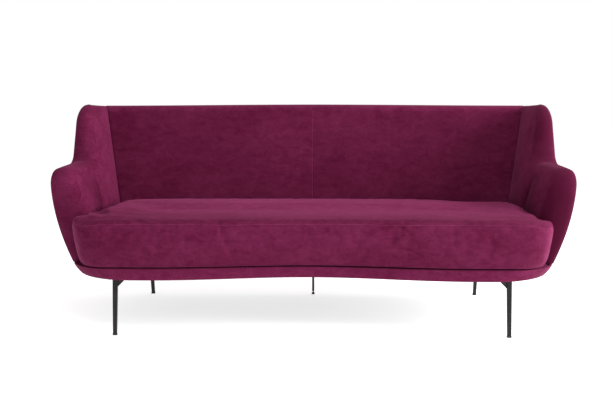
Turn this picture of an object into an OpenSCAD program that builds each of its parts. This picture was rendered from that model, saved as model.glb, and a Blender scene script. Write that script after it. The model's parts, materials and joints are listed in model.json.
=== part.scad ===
// Three-seat velvet sofa: a flared shell of arms, wings and a raked back on a slim curved base,
// one thick bench cushion, four splayed metal legs and a levelling support under the middle.
// Origin: middle of the footprint on the floor. +Z is up, the front faces -Y, +X is to the right.

/* [Shell heights] */
// Height of the arm top at its front
arm_height = 608; // [595:1:620]
// Rise of the arm top from its front to the wing
arm_rise = 12; // [0:1:20]
// Height of the back top beside the wings
back_height = 849; // [838:1:858]
// Rise of the back top from the wings to the middle
back_rise = 5; // [0:1:10]
// Height of the wing top above the back top beside it
wing_rise = 4; // [2:1:12]
// Height at which the seat cushion meets the shell
seat_line = 447; // [435:1:455]

/* [Shell inside, in plan] */
// Half width between the arms at their front, at the seat
arm_inner_x = 864; // [860:1:872]
// How much narrower each side is at the seam between arm and wing
seam_step = 9; // [0:1:14]
// How much narrower each side is in the rear corners
corner_step = 19; // [14:1:24]
// Front edge of the arm frame
arm_front_y = -234; // [-250:1:-220]
// Seam between arm and wing, at the seat
seam_y = -92; // [-110:1:-80]
// Rear corner of the seat
corner_y = 163; // [158:1:175]
// Depth of the bow of the back, from its corners to its middle
back_bow = 34; // [20:1:45]
// Outward lean of the arm at its front, per unit of height
arm_flare_share = 0.33; // [0.28:0.01:0.36]
// Outward lean of the sides at the seam and in the rear corner, per unit of height
wing_flare_share = 0.21; // [0.18:0.01:0.23]
// Outward lean of the sides below the seat, per unit of height
low_flare_share = 0.08; // [0.04:0.01:0.12]
// Backward lean of the wings and the back, per unit of height
lean_share = 0.36; // [0.33:0.01:0.38]

/* [Shell outside] */
// Width of the arm beyond the inside line at the seat, where the shell is widest
arm_reach = 134; // [124:1:146]
// Height at which the shell is widest
flank_z = 560; // [540:1:580]
// How far the flank is drawn in at the base
flank_tuck = 76; // [68:1:84]
// Thickness of the wing at its top
wing_top_thick = 52; // [44:1:60]
// Thickness of the back at its top, in the middle
back_top_thick = 96; // [88:1:106]
// How far the rear of the back is drawn in at the base
rear_tuck = 127; // [110:1:140]
// Radius of the rear corner at the base
low_corner_r = 150; // [120:1:170]
// Radius of the rear corner at the top
top_corner_r = 90; // [70:1:110]

/* [Padding] */
// Thickness of the inside padding, at the foot of the shell
pad_foot = 8; // [6:1:10]
// Thickness of the inside padding above the seat
pad_thick = 24; // [18:1:26]
// How far the arm padding swells
arm_crown = 7; // [3:1:10]
// How far the wing padding swells
wing_crown = 8; // [3:1:10]
// How far the back padding swells
back_crown = 11; // [5:1:14]
// Thickness of the outside panels with their cover
panel_thick = 8; // [5:1:10]
// Reach of the padded edge beyond the arm frame
arm_roll = 38; // [30:1:42]
// Reach of the padded edge beyond the wing frame
wing_roll = 42; // [34:1:46]
// Reach of the padded edge above the back frame
back_roll = 24; // [20:1:28]
// Radius of the upper corner of the arm frame
arm_corner_r = 30; // [20:1:36]
// Radius of the upper corner of the wing frame
wing_corner_r = 36; // [26:1:44]
// Radius of the hollow where the arm runs up into the wing
hollow_r = 62; // [56:1:70]
// Distance of the wing frame's front edge behind the seam
wing_step = 50; // [44:1:58]

/* [Base] */
// Height of the underside of the base
base_bottom = 210; // [200:1:220]
// Height of the upholstered band
band_height = 40; // [38:1:44]
// Thickness of the upholstered band
band_thick = 12; // [9:1:14]
// How much narrower each side of the band is at its lower edge
band_tuck = 12; // [6:1:20]
// Reach of the band in front of the arm frame
seat_overhang = 175; // [166:1:184]
// How far the middle of the band's lower edge lies behind its foremost line
low_hollow = 66; // [56:1:74]
// How far the middle of the band's upper edge lies behind its foremost line
top_hollow = 54; // [46:1:62]
// Width on each side over which the front runs straight
hollow_end = 264; // [240:1:290]
// Radius of the front corner of the band
band_corner_r = 235; // [220:1:245]
// Width of the base rails
rail_width = 62; // [56:1:68]
// Thickness of the stretched cover under the base
dust_cover_thick = 2; // [1:0.5:2]

/* [Seat] */
// Reach of the cushion's front seam beyond the band
cushion_reach = 18; // [12:1:22]
// How far the middle of that seam lies behind
cushion_hollow = 14; // [8:1:20]
// How far the cushion's front seam lies below the seat line
cushion_drop = 23; // [17:1:29]
// Rise of the cushion's upper seam towards the back
cushion_rise = 18; // [8:1:20]
// Height that the seat swells above its upper seam
cushion_crown = 20; // [14:1:24]
// How far the cushion's front border swells
border_crown = 11; // [6:1:11]
// How far the front corners of the cushion spread in front of the arms
cushion_ear = 30; // [16:1:34]
// Radius of the front corners of the cushion at their upper seam
cushion_front_r = 110; // [90:1:120]
// Radius of the front corners of the cushion at their foot
cushion_low_r = 160; // [140:1:170]
// How far the front corners hang below the middle of the front seam
corner_droop = 14; // [6:1:18]
// Radius of the rear corners of the cushion
cushion_rear_r = 105; // [90:1:130]
// Radius of the sewn edge at the top and bottom of the border
piping_r = 9; // [6:1:10]
// Room between the cushion and the shell
cushion_gap = 6; // [5:1:8]

/* [Legs] */
// Distance of the feet from the side of the band
foot_inset = 182; // [172:1:194]
// Distance of the front feet behind the foremost line of the band
front_foot_inset = 17; // [12:1:26]
// Distance of the rear feet before the rearmost line of the band
rear_foot_inset = 30; // [22:1:40]
// How far the front legs splay forward
front_splay = 26; // [18:1:32]
// How far the rear legs splay backward
rear_splay = 36; // [28:1:42]
// Width of the leg tube at its top
leg_top_w = 19; // [16:1:22]
// Width of the leg tube at its foot
leg_foot_w = 15; // [12:1:16]
// Height of the glide under each leg
glide_h = 7; // [5:1:9]
// Reach of the brace beside each leg
brace_reach = 30; // [26:1:34]
// Length of the leg plate
plate_len = 70; // [66:1:76]
// Thickness of the leg plate
plate_thick = 4; // [3:0.5:5]
// Diameter of the middle support's rod
support_d = 10; // [8:1:12]
// Travel of the levelling foot, up or down
level_travel = 6; // [4:1:8]

/* [Hidden] */
// Timber and webbing
rib_thick = 18;
cap_thick = 20;
webbing_thick = 2;
web_w = 50;
seat_web_pitch = 130;
long_web_pitch = 105;
back_web_pitch = 95;
lip_width = 27;
deck_thick = 4;
deck_setback = 14;
rail_inset = 1;
rail_joint_inset = 255;
cross_rail_w = 45;
cross_rail_share = 0.515;
rib_gap = 0.8;
seam_gap = 0.5;
band_edge = 4;
overrun = 5;
cushion_rest = 0.4;
ear_depth = 40;
side_crown = 2;
zip_thick = 2;
zip_h = 18;
zip_len = 900;
zip_drop = 80;
// Leg fittings
plate_w = 52;
plate_r = 8;
plate_setback = 18;
screw_d = 5;
screw_len = 24;
screw_head_d = 10;
screw_head_h = 2.5;
screw_play = 0.3;
screw_inset = 9;
screw_room = 1;
leg_depth_share = 0.75;
leg_edge_r = 3;
leg_slice = 0.5;
brace_thick = 4;
glide_rim = 1;
block_len = 120;
block_width = 110;
cover_play = 1.5;
cover_inset = 6;
// Middle support
support_setback = 2;
support_plate_d = 56;
support_screw_ring = 42;
support_boss_d = 17;
support_boss_h = 8;
stud_d = 6;
stud_len = 34;
stud_play = 0.05;
level_bore_depth = 44;
foot_d = 14;
foot_neck_d = 9;
foot_h = 5;
foot_neck_h = 4;
// Shares that shape the curves
flank_power_share = 1.9;
rear_power_share = 1.2;
roll_full_share = 0.42;
dome_power_share = 2.4;
crown_reach_share = 0.86;
crown_spread_share = 1.6;
back_rib_shares = [0.33, 0.67];
run_shares = [0.3, 0.65];
turn_len = 62;
turn_angle = 90;
// Counts of the meshes
ARM_STEPS = 4;
WING_STEPS = 7;
BACK_STEPS = 14;
RISE_STEPS = 9;
LOW_STEPS = 6;
HOLLOW_STEPS = 4;
TURN_STEPS = 3;
BEND_STEPS = 4;
ARC_STEPS = 5;
FOOT_STEPS = 6;
TOP_STEPS = 4;
ROLL_SIDES = 11;
CORNER_STEPS = 6;
FRONT_STEPS = 9;
SIDE_STEPS = 3;
CUSHION_STEPS = 10;
CUSHION_TURN_STEPS = 7;
EAR_STEPS = 4;
CUSHION_REAR_STEPS = 6;
CROWN_STEPS = 7;

base_top = base_bottom + band_height;
wing_height = back_height + wing_rise;
seam_inner_x = arm_inner_x - seam_step;
corner_inner_x = arm_inner_x - corner_step;
flank_x = arm_inner_x + arm_reach;
flank_top_x = seam_inner_x + wing_flare_share * (wing_height - seat_line) + wing_top_thick;
rear_y = corner_y + back_bow + lean_share * (back_height + back_rise - seat_line) + back_top_thick;
band_low_x = flank_x - flank_tuck - band_tuck;
band_front_y = arm_front_y - seat_overhang;
band_rear_y = rear_y - rear_tuck - back_bow;
hollow_span = arm_inner_x - hollow_end;
rail_joint_x = band_low_x - rail_joint_inset;
cross_rail_x = rail_joint_x * cross_rail_share;
web_room = webbing_thick + 2 * seam_gap;
cushion_seam = seat_line - cushion_drop;
cushion_front_y = band_front_y - cushion_reach;
foot_x = band_low_x - foot_inset;
front_foot_y = band_front_y + front_foot_inset;
rear_foot_y = band_rear_y - rear_foot_inset;
support_y = rear_foot_y + support_setback;
rail_bottom = base_bottom + dust_cover_thick;
rail_top = base_top - 2 * webbing_thick;
rail_h = rail_top - rail_bottom;
cushion_bottom = base_top + deck_thick + cushion_rest;
shell_foot = base_top;
plate_bottom = rail_bottom - plate_thick;
screw_top = plate_bottom + screw_len + screw_room;
end_s = corner_y + corner_inner_x;
wing_edge_s = seam_y + wing_step;
arm_shoulder = arm_height - arm_roll;
wing_shoulder = wing_height - wing_roll;

// Helpers

function mix(a, b, u) = a + (b - a) * u;
function clamp(u) = min(1, max(0, u));
function ease(u) = let (v = clamp(u)) v * v * (3 - 2 * v);
function dome(u) = 1 - pow(abs(2 * clamp(u) - 1), dome_power_share);
function steps(n) = [for (i = [0:n]) i / n];

// Shell surfaces. A station s runs along the inside of the shell at the seat: on the side it is
// the y of the place, and past the rear corner it goes on along the back to the middle.

function side_s(s) = min(s, corner_y);
function back_part(s) = max(0, s - corner_y) / corner_inner_x;
function lean(s) = lean_share * ease((s - arm_front_y) / (seam_y - arm_front_y));
function flare(s) = lookup(side_s(s), [[arm_front_y, arm_flare_share], [seam_y, wing_flare_share],
    [corner_y, wing_flare_share]]);
function seat_half(s) = lookup(side_s(s), [[arm_front_y, arm_inner_x], [seam_y, seam_inner_x],
    [corner_y, corner_inner_x]]);
function inner_half(s, z) = seat_half(s) + (z - seat_line) * (z > seat_line ? flare(s) : low_flare_share);
function inner(s, z) = [
    inner_half(s, z) * (1 - back_part(s)),
    side_s(s) + back_bow * (1 - pow(1 - back_part(s), 2)) + lean(s) * (z - seat_line)
];

function flank(z) = z < flank_z
    ? flank_x - flank_tuck * pow((flank_z - z) / (flank_z - base_top), flank_power_share)
    : mix(flank_x, flank_top_x, ease((z - flank_z) / (wing_height - flank_z)));
function rear(z) = rear_y
    - rear_tuck * pow(max(0, wing_height - z) / (wing_height - base_top), rear_power_share);
function corner_r(z) = mix(low_corner_r, top_corner_r, (z - base_top) / (wing_height - base_top));
turn_start = corner_y - turn_len;
turn_end = corner_y + turn_len;

// The outer face runs straight back along the flank, round the rear corner and along the bowed back
function outer(s, z) = let (r = corner_r(z), x = flank(z), y = rear(z) - back_bow,
        a = turn_angle * (s - turn_start) / (turn_end - turn_start),
        q = (s - turn_end) / (end_s - turn_end))
    s <= seam_y ? [x, inner(s, z)[1]]
    : s <= turn_start ? [x, mix(inner(seam_y, z)[1], y - r, (s - seam_y) / (turn_start - seam_y))]
    : s <= turn_end ? [x - r + r * cos(a), y - r + r * sin(a)]
    : [(x - r) * (1 - q), y + back_bow * (1 - pow(1 - q, 2))];

// Points of the shell: k goes from the inner face at 0 to the outer face at 1
function through(s, z, k) = let (p = inner(s, z), q = outer(s, z)) [mix(p[0], q[0], k), mix(p[1], q[1], k), z];
function span(s, z) = norm(outer(s, z) - inner(s, z));
function from_inner(s, z, d) = through(s, z, d / span(s, z));
function from_outer(s, z, d) = through(s, z, 1 - d / span(s, z));
function pad(z) = mix(pad_foot, pad_thick, ease((z - base_top) / (seat_line - base_top)));
function swell(z, top) = z <= seat_line ? 0 : dome((z - seat_line) / (top - seat_line));

// Top lines of the frame under the padded edge
function roll(s) = s <= seam_y ? arm_roll
    : mix(wing_roll, back_roll, ease((s - wing_edge_s) / (corner_y - wing_edge_s)));
function top_line(s) = s <= corner_y
    ? mix(wing_height, back_height, ease((s - wing_edge_s) / (corner_y - wing_edge_s)))
    : back_height + back_rise * ease(back_part(s));
function arm_line(s) = arm_shoulder + arm_rise * clamp((s - arm_front_y) / (seam_y - arm_front_y));
function frame_line(s) = top_line(s) - roll(s);

// Centres of the three arcs of the side's edge: arm corner, hollow and wing corner
arm_arc = [arm_front_y + arm_corner_r, arm_line(arm_front_y + arm_corner_r) - arm_corner_r];
hollow_arc = [wing_edge_s - hollow_r, arm_shoulder + arm_rise + hollow_r];
wing_arc = [wing_edge_s + wing_corner_r, wing_shoulder - wing_corner_r];
inner_arc_share = cos(turn_angle / ARC_STEPS / 2);

// Upper edge of the arm panels, from the front over the corner to the seam
arm_edge = let (r = arm_corner_r * inner_arc_share - seam_gap) concat(
    [for (u = steps(TURN_STEPS)) arm_arc + r * [-cos(turn_angle * u), sin(turn_angle * u)]],
    [for (i = [1:ARM_STEPS]) let (s = mix(arm_arc[0], seam_y - seam_gap, i / ARM_STEPS))
        [s, arm_line(s) - seam_gap]]);

// Front edge of the wing panels, from the foot up the seam, the hollow and the wing's own edge
wing_edge = let (far = (hollow_r + seam_gap) / cos(turn_angle / HOLLOW_STEPS / 2),
        near = wing_corner_r * inner_arc_share - seam_gap) concat(
    [for (i = [0:LOW_STEPS - 1]) [seam_y + seam_gap, mix(shell_foot, hollow_arc[1] - far, i / LOW_STEPS)]],
    [for (u = steps(HOLLOW_STEPS)) let (p = hollow_arc + far * [sin(turn_angle * u), -cos(turn_angle * u)])
        [max(p[0], seam_y + seam_gap), p[1]]],
    [[wing_edge_s + seam_gap, (hollow_arc[1] + wing_arc[1]) / 2]],
    [for (u = steps(TURN_STEPS)) wing_arc + near * [-cos(turn_angle * u), sin(turn_angle * u)]]);

// Stations of the back, closer together round the rear corner
back_stations = concat(
    [for (i = [0:BEND_STEPS - 1]) mix(corner_y, turn_end, i / BEND_STEPS)],
    [for (u = steps(BACK_STEPS - BEND_STEPS)) mix(turn_end, end_s, u)]);

// A grid place [s, z] on each panel, in column i along it and row j up it
function arm_place(i, j) = [arm_edge[i][0], mix(shell_foot, arm_edge[i][1], j / RISE_STEPS)];
function wing_place(i, j) = let (s = mix(wing_edge[j][0], corner_y - seam_gap, i / WING_STEPS))
    [s, shell_foot + (wing_edge[j][1] - shell_foot) * (frame_line(max(s, wing_arc[0])) - shell_foot)
        / (frame_line(wing_arc[0]) - shell_foot)];
function back_place(i, j) = [back_stations[i],
    mix(shell_foot, frame_line(back_stations[i]) - seam_gap, j / RISE_STEPS)];
function place(part, i, j) = part == "arm" ? arm_place(i, j)
    : part == "wing" ? wing_place(i, j) : back_place(i, j);
function columns(part) = part == "arm" ? len(arm_edge) - 1 : part == "wing" ? WING_STEPS : BACK_STEPS;
function rows(part) = part == "wing" ? len(wing_edge) - 1 : RISE_STEPS;
function crown(part) = part == "arm" ? arm_crown : part == "wing" ? wing_crown : back_crown;

// Solids from rings of points

// A solid through rings of points, closed at both ends; point i of a ring lies across from n-1-i
module loft(rings) {
    n = len(rings[0]);
    m = len(rings);
    last = (m - 1) * n;
    polyhedron(
        points = [for (ring = rings) each ring],
        faces = concat(
            [for (j = [0:m - 2]) for (i = [0:n - 1]) let (a = j * n + i, b = j * n + (i + 1) % n)
                each [[a, b, b + n], [a, b + n, a + n]]],
            [for (i = [0:n / 2 - 2]) each [[n - 1 - i, i + 1, i], [n - 1 - i, n - 2 - i, i + 1]]],
            [for (i = [0:n / 2 - 2]) each [[last + i, last + i + 1, last + n - 1 - i],
                [last + i + 1, last + n - 2 - i, last + n - 1 - i]]]),
        convexity = 8);
}

// A closed hoop through rings of points
module hoop(rings) {
    n = len(rings[0]);
    m = len(rings);
    polyhedron(
        points = [for (ring = rings) each ring],
        faces = [for (j = [0:m - 1]) for (i = [0:n - 1])
            let (k = (j + 1) % m, h = (i + 1) % n, a = j * n + i, b = j * n + h, c = k * n + i, d = k * n + h)
            each [[a, b, d], [a, d, c]]],
        convexity = 8);
}

module on_left() {
    mirror([1, 0, 0]) children();
}

// Padded and covered panels

// Inside panel: above the seat its face swells between its seams, and its back lies on the frame
function puff(part, i, z) = let (first = place(part, 0, 0)[0], last = place(part, columns(part), 0)[0],
        u = (place(part, i, 0)[0] - first) / (last - first))
    crown(part) * dome(u) * swell(z, place(part, i, rows(part))[1]);
function inside_ring(part, i) = let (m = rows(part)) concat(
    [for (j = [0:m]) let (p = place(part, i, j)) from_inner(p[0], p[1], -puff(part, i, p[1]))],
    [for (j = [m:-1:0]) let (p = place(part, i, j)) from_inner(p[0], p[1], pad(p[1]))]);
function outside_ring(part, i) = let (m = rows(part)) concat(
    [for (j = [0:m]) let (p = place(part, i, j)) from_outer(p[0], p[1], panel_thick)],
    [for (j = [m:-1:0]) let (p = place(part, i, j)) from_outer(p[0], p[1], 0)]);

module inside_panel(part) {
    loft([for (i = [0:columns(part)]) inside_ring(part, i)]);
}

module outside_panel(part) {
    loft([for (i = [0:columns(part)]) outside_ring(part, i)]);
}

// Padded edge. Its path follows the frame's edge; each entry is [s, z, outward s, outward z, reach]
function edge_arc(centre, r, from, to, way, reach) = [for (u = steps(ARC_STEPS)) let (a = mix(from, to, u))
    [centre[0] + r * cos(a), centre[1] + r * sin(a), way * cos(a), way * sin(a), reach]];
function side_edge() = concat(
    [for (i = [0:FOOT_STEPS - 1]) [arm_front_y, mix(shell_foot, arm_arc[1], i / FOOT_STEPS), -1, 0, arm_roll]],
    edge_arc(arm_arc, arm_corner_r, 2 * turn_angle, turn_angle, 1, arm_roll),
    [for (share = run_shares) let (s = mix(arm_arc[0], hollow_arc[0], share)) [s, arm_line(s), 0, 1, arm_roll]],
    edge_arc(hollow_arc, hollow_r, -turn_angle, 0, -1, arm_roll),
    [for (share = run_shares) [wing_edge_s, mix(hollow_arc[1], wing_arc[1], share), -1, 0,
        mix(arm_roll, wing_roll, share)]],
    edge_arc(wing_arc, wing_corner_r, 2 * turn_angle, turn_angle, 1, wing_roll),
    [for (i = [1:TOP_STEPS]) let (s = mix(wing_arc[0], corner_y, i / TOP_STEPS))
        [s, frame_line(s), 0, 1, roll(s)]]);
function edge_ring(e) = [for (u = steps(ROLL_SIDES)) let (a = 180 * u, b = e[4] * pow(sin(a), roll_full_share))
    through(e[0] + e[2] * b, e[1] + e[3] * b, (1 - cos(a)) / 2)];

module edge_roll() {
    loft([for (e = side_edge()) edge_ring(e)]);
}

function back_ring(s, side) = [for (p = edge_ring([s, frame_line(s), 0, 1, roll(s)]))
    [side * p[0], p[1], p[2]]];

module back_edge_roll() {
    color("#7c2450") loft(concat(
        [for (i = [0:BACK_STEPS]) back_ring(back_stations[i], 1)],
        [for (i = [BACK_STEPS - 1:-1:0]) back_ring(back_stations[i], -1)]));
}

module left_inside_arm() { color("#6f1e46") on_left() inside_panel("arm"); }
module right_inside_arm() { color("#6f1e46") inside_panel("arm"); }
module left_inside_wing() { color("#762049") on_left() inside_panel("wing"); }
module right_inside_wing() { color("#762049") inside_panel("wing"); }
module left_inside_back() { color("#5e1436") on_left() inside_panel("back"); }
module right_inside_back() { color("#5e1436") inside_panel("back"); }
module left_edge_roll() { color("#7c2450") on_left() edge_roll(); }
module right_edge_roll() { color("#7c2450") edge_roll(); }
module left_outside_arm() { color("#641a3f") on_left() outside_panel("arm"); }
module right_outside_arm() { color("#641a3f") outside_panel("arm"); }
module left_outside_wing() { color("#641a3f") on_left() outside_panel("wing"); }
module right_outside_wing() { color("#641a3f") outside_panel("wing"); }

module outside_back() {
    right = [for (i = [0:BACK_STEPS]) outside_ring("back", i)];
    left = [for (i = [BACK_STEPS - 1:-1:0]) [for (p = right[i]) [-p[0], p[1], p[2]]]];
    color("#641a3f") loft(concat(right, left));
}

// Frame of the shell

// A rib across the shell from one station to the next, between padding and panel, up to the cap
function rib_ring(s, top) = concat(
    [for (v = steps(RISE_STEPS)) let (z = mix(base_top, top, v)) from_inner(s, z, pad(z) + web_room)],
    [for (v = steps(RISE_STEPS)) let (z = mix(top, base_top, v)) from_outer(s, z, panel_thick + rib_gap)]);

module rib(s, top) {
    loft([rib_ring(s, top), rib_ring(s + rib_thick, top)]);
}

// A flat cap over the ribs, which carries the padded edge
function cap_ring(s, line) = [
    from_inner(s, line - cap_thick, pad(line) + web_room),
    from_inner(s, line - seam_gap, pad(line) + web_room),
    from_outer(s, line - seam_gap, panel_thick + rib_gap),
    from_outer(s, line - cap_thick, panel_thick + rib_gap)
];

module arm_rib() {
    rib(arm_front_y + seam_gap, arm_shoulder - arm_corner_r - cap_thick);
}

module wing_rib() {
    rib(wing_edge_s + seam_gap, wing_shoulder - wing_corner_r - cap_thick);
}

module corner_rib() {
    rib(corner_y, frame_line(corner_y) - cap_thick - seam_gap);
}

module arm_cap() {
    loft([for (u = steps(4)) let (s = mix(arm_front_y + seam_gap, wing_edge_s, u))
        cap_ring(s, arm_shoulder - arm_corner_r)]);
}

module wing_cap() {
    loft([for (u = steps(WING_STEPS)) let (s = mix(wing_edge_s + seam_gap, corner_y - seam_gap, u))
        cap_ring(s, min(frame_line(s), wing_shoulder - wing_corner_r + (s - wing_edge_s)))]);
}

module left_arm_rib() { color("#c8a878") on_left() arm_rib(); }
module right_arm_rib() { color("#c8a878") arm_rib(); }
module left_wing_rib() { color("#c8a878") on_left() wing_rib(); }
module right_wing_rib() { color("#c8a878") wing_rib(); }
module left_corner_rib() { color("#c8a878") on_left() corner_rib(); }
module right_corner_rib() { color("#c8a878") corner_rib(); }
module left_arm_cap() { color("#d0b080") on_left() arm_cap(); }
module right_arm_cap() { color("#d0b080") arm_cap(); }
module left_wing_cap() { color("#d0b080") on_left() wing_cap(); }
module right_wing_cap() { color("#d0b080") wing_cap(); }

// Ribs of the back: one in the middle and two on each side
module back_ribs() {
    half = rib_ring(end_s - rib_thick / 2, frame_line(end_s) - cap_thick - seam_gap);
    color("#c8a878") {
        for (share = back_rib_shares) {
            s = mix(end_s, corner_y, share);
            rib(s, frame_line(s) - cap_thick - seam_gap);
            on_left() rib(s, frame_line(s) - cap_thick - seam_gap);
        }
        loft([half, [for (p = half) [-p[0], p[1], p[2]]]]);
    }
}

module back_cap() {
    right = [for (s = back_stations) cap_ring(s, frame_line(s))];
    left = [for (i = [BACK_STEPS - 1:-1:0]) [for (p = right[i]) [-p[0], p[1], p[2]]]];
    color("#d0b080") loft(concat(right, left));
}

// Elastic webbing across the ribs of the back, behind the padding
function web_point(s, z, d) = from_inner(s, z, pad(z) + seam_gap + d);
function web_ring(s, z) = [web_point(s, z, 0), web_point(s, z + web_w, 0),
    web_point(s, z + web_w, webbing_thick), web_point(s, z, webbing_thick)];

module back_webbing() {
    color("#3a3a3c") for (z = [seat_line:back_web_pitch:back_height - back_roll - cap_thick - web_w]) {
        right = [for (s = back_stations) web_ring(s, z)];
        left = [for (i = [BACK_STEPS - 1:-1:0]) [for (p = right[i]) [-p[0], p[1], p[2]]]];
        loft(concat(right, left));
    }
}

// Base. Its outline is straight or hollow in front, round at the corners and bowed behind

function front_line(half, y, r, n) = [for (i = [0:n - 1]) [(half - r) * i / n, y]];
function front_turn(half, y, r, n) = [for (u = steps(n))
    [half - r + r * sin(turn_angle * u), y + r - r * cos(turn_angle * u)]];
function rear_turn(half, y, r, n) = [for (u = steps(n))
    [half - r + r * cos(turn_angle * u), y - r + r * sin(turn_angle * u)]];
function rear_line(half, y, r, n) = [for (i = [1:n]) [(half - r) * (1 - i / n), y]];
function half_outline(half, front, back, front_r, back_r) = concat(
    front_line(half, front, front_r, FRONT_STEPS), front_turn(half, front, front_r, CORNER_STEPS),
    [for (i = [1:SIDE_STEPS - 1]) [half, mix(front + front_r, back - back_r, i / SIDE_STEPS)]],
    rear_turn(half, back, back_r, CORNER_STEPS), rear_line(half, back, back_r, FRONT_STEPS));
function whole(half_points) = concat(half_points,
    [for (i = [len(half_points) - 2:-1:1]) [-half_points[i][0], half_points[i][1]]]);
// The same points, begun at point k
function begun_at(points, k) = let (n = len(points)) [for (i = [0:n - 1]) points[(i + k) % n]];
function hollow(x, depth) = depth * (1 + cos(180 * min(1, abs(x) / hollow_span))) / 2;
function bow(x, half) = back_bow * (1 - pow(min(1, abs(x) / half), 2));

// The front line takes the hollow and the rear line the bow, and what lies between takes some of both
function bend(points, depth, half, front, back) = [for (p = points)
    [p[0], p[1] + mix(hollow(p[0], depth), bow(p[0], half), (p[1] - front) / (back - front))]];
function band_outline(z, inset) = let (u = (z - base_bottom) / band_height,
        half = mix(band_low_x, flank(base_top), u) - inset, back_r = corner_r(z) - inset,
        front = band_front_y + inset, back = rear(z) - back_bow - inset)
    bend(whole(half_outline(half, front, back, band_corner_r - inset, back_r)),
        mix(low_hollow, top_hollow, u), half - back_r, front, back);

module base_band() {
    rows = [band_outline(base_bottom, band_edge), band_outline(base_bottom + band_edge, 0),
        band_outline(base_top - band_edge, 0), band_outline(base_top, band_edge),
        band_outline(base_top, band_thick), band_outline(base_bottom, band_thick)];
    heights = [base_bottom, base_bottom + band_edge, base_top - band_edge, base_top, base_top, base_bottom];
    color("#772249") hoop([for (i = [0:len(rows[0]) - 1]) [for (j = [0:len(rows) - 1])
        [rows[j][i][0], rows[j][i][1], heights[j]]]]);
}

rail_out = band_thick + rail_inset;

module rail_area(inset, width) {
    difference() {
        polygon(band_outline(base_bottom, inset));
        polygon(band_outline(base_bottom, inset + width));
    }
}

// The rails carry a raised lip, and the webbing lies in the rebate inside it
module rails() {
    translate([0, 0, rail_bottom]) linear_extrude(rail_h) rail_area(rail_out, rail_width);
    translate([0, 0, rail_bottom]) linear_extrude(base_top - rail_bottom) rail_area(rail_out, lip_width);
}

module front_rail() {
    color("#b89868") intersection() {
        rails();
        translate([-rail_joint_x, -flank_x, 0]) cube([2 * rail_joint_x, flank_x, base_top + overrun]);
    }
}

module rear_rail() {
    color("#b89868") difference() {
        intersection() {
            rails();
            translate([-rail_joint_x, 0, 0]) cube([2 * rail_joint_x, flank_x, base_top + overrun]);
        }
        support_bores();
    }
}

module side_rail() {
    difference() {
        intersection() {
            rails();
            translate([rail_joint_x, -flank_x, 0]) cube([flank_x, 2 * flank_x, base_top + overrun]);
        }
        leg_bores();
    }
}

module left_side_rail() { color("#b89868") on_left() side_rail(); }
module right_side_rail() { color("#b89868") side_rail(); }

module rail_inside() {
    polygon(band_outline(base_bottom, rail_out + rail_width));
}

module cross_rails() {
    color("#c0a070") difference() {
        translate([0, 0, rail_bottom]) linear_extrude(rail_h) intersection() {
            rail_inside();
            for (x = [-cross_rail_x, 0, cross_rail_x])
                translate([x - cross_rail_w / 2, -flank_x]) square([cross_rail_w, 2 * flank_x]);
        }
        support_bores();
    }
}

// Blocks in the corners of the frame, over the leg plates
module leg_blocks() {
    color("#a98a5c") difference() {
        translate([0, 0, rail_bottom]) linear_extrude(rail_h) intersection() {
            rail_inside();
            for (side = [-1, 1]) for (y = [plate_y(front_foot_y), plate_y(rear_foot_y)])
                translate([side * foot_x - block_len / 2, y - block_width / 2])
                    square([block_len, block_width]);
        }
        leg_bores();
        on_left() leg_bores();
    }
}

module seat_webbing_long() {
    half = band_low_x - rail_out - lip_width - overrun;
    color("#343436") translate([0, 0, rail_top]) linear_extrude(webbing_thick) intersection() {
        polygon(band_outline(base_bottom, rail_out + lip_width + rib_gap));
        for (i = [-1:1]) translate([-half, i * long_web_pitch - web_w - long_web_pitch / 2])
            square([2 * half, web_w]);
    }
}

module seat_webbing_cross() {
    count = floor((rail_joint_x + cross_rail_w) / seat_web_pitch);
    color("#404043") translate([0, 0, rail_top + webbing_thick]) linear_extrude(webbing_thick) intersection() {
        polygon(band_outline(base_bottom, rail_out + lip_width + rib_gap));
        for (i = [-count:count]) translate([i * seat_web_pitch - web_w / 2, -flank_x])
            square([web_w, 2 * flank_x]);
    }
}

// Upholstered platform under the cushion, from the front of the band to the foot of the shell
function shell_plan(z, gap) = concat([[seat_half(arm_front_y) - gap, -flank_x]],
    [for (s = [arm_front_y, seam_y, corner_y])
        [inner_half(s, z) - gap, inner(s, z)[1] - (s == corner_y ? gap : 0)]],
    [for (u = [0.25, 0.5, 0.75, 1]) let (p = inner(mix(corner_y, end_s, u), z)) [p[0], p[1] - gap]]);

module seat_deck() {
    color("#4a1430") translate([0, 0, base_top]) linear_extrude(deck_thick) intersection() {
        polygon(band_outline(base_top, deck_setback));
        polygon(whole(concat([[0, -flank_x]], shell_plan(base_top, 2 * seam_gap))));
    }
}

module dust_cover() {
    color("#1e1c1e") translate([0, 0, base_bottom]) linear_extrude(dust_cover_thick) difference() {
        polygon(band_outline(base_bottom, band_thick + cover_inset));
        for (side = [-1, 1]) for (y = [plate_y(front_foot_y), plate_y(rear_foot_y)])
            translate([side * foot_x - plate_w / 2 - cover_play, y - plate_len / 2 - cover_play])
                square([plate_w + 2 * cover_play, plate_len + 2 * cover_play]);
        translate([0, support_y]) circle(d = support_plate_d + 2 * cover_play, $fn = 48);
    }
}

// Seat cushion: hollow in front like the band, slanted behind like the back, crowned on top. It fills
// the room between the arms, and its front corners spread before them. Its upper seam rises to the back.

ear_back_y = arm_front_y - arm_roll - cushion_gap;
function low_z(z) = min(z, cushion_seam);
function climb(z) = cushion_rise * clamp((low_z(z) - cushion_bottom) / (cushion_seam - cushion_bottom));
function ear(y) = cushion_ear * (1 - ease((y - ear_back_y + ear_depth) / ear_depth));
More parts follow.
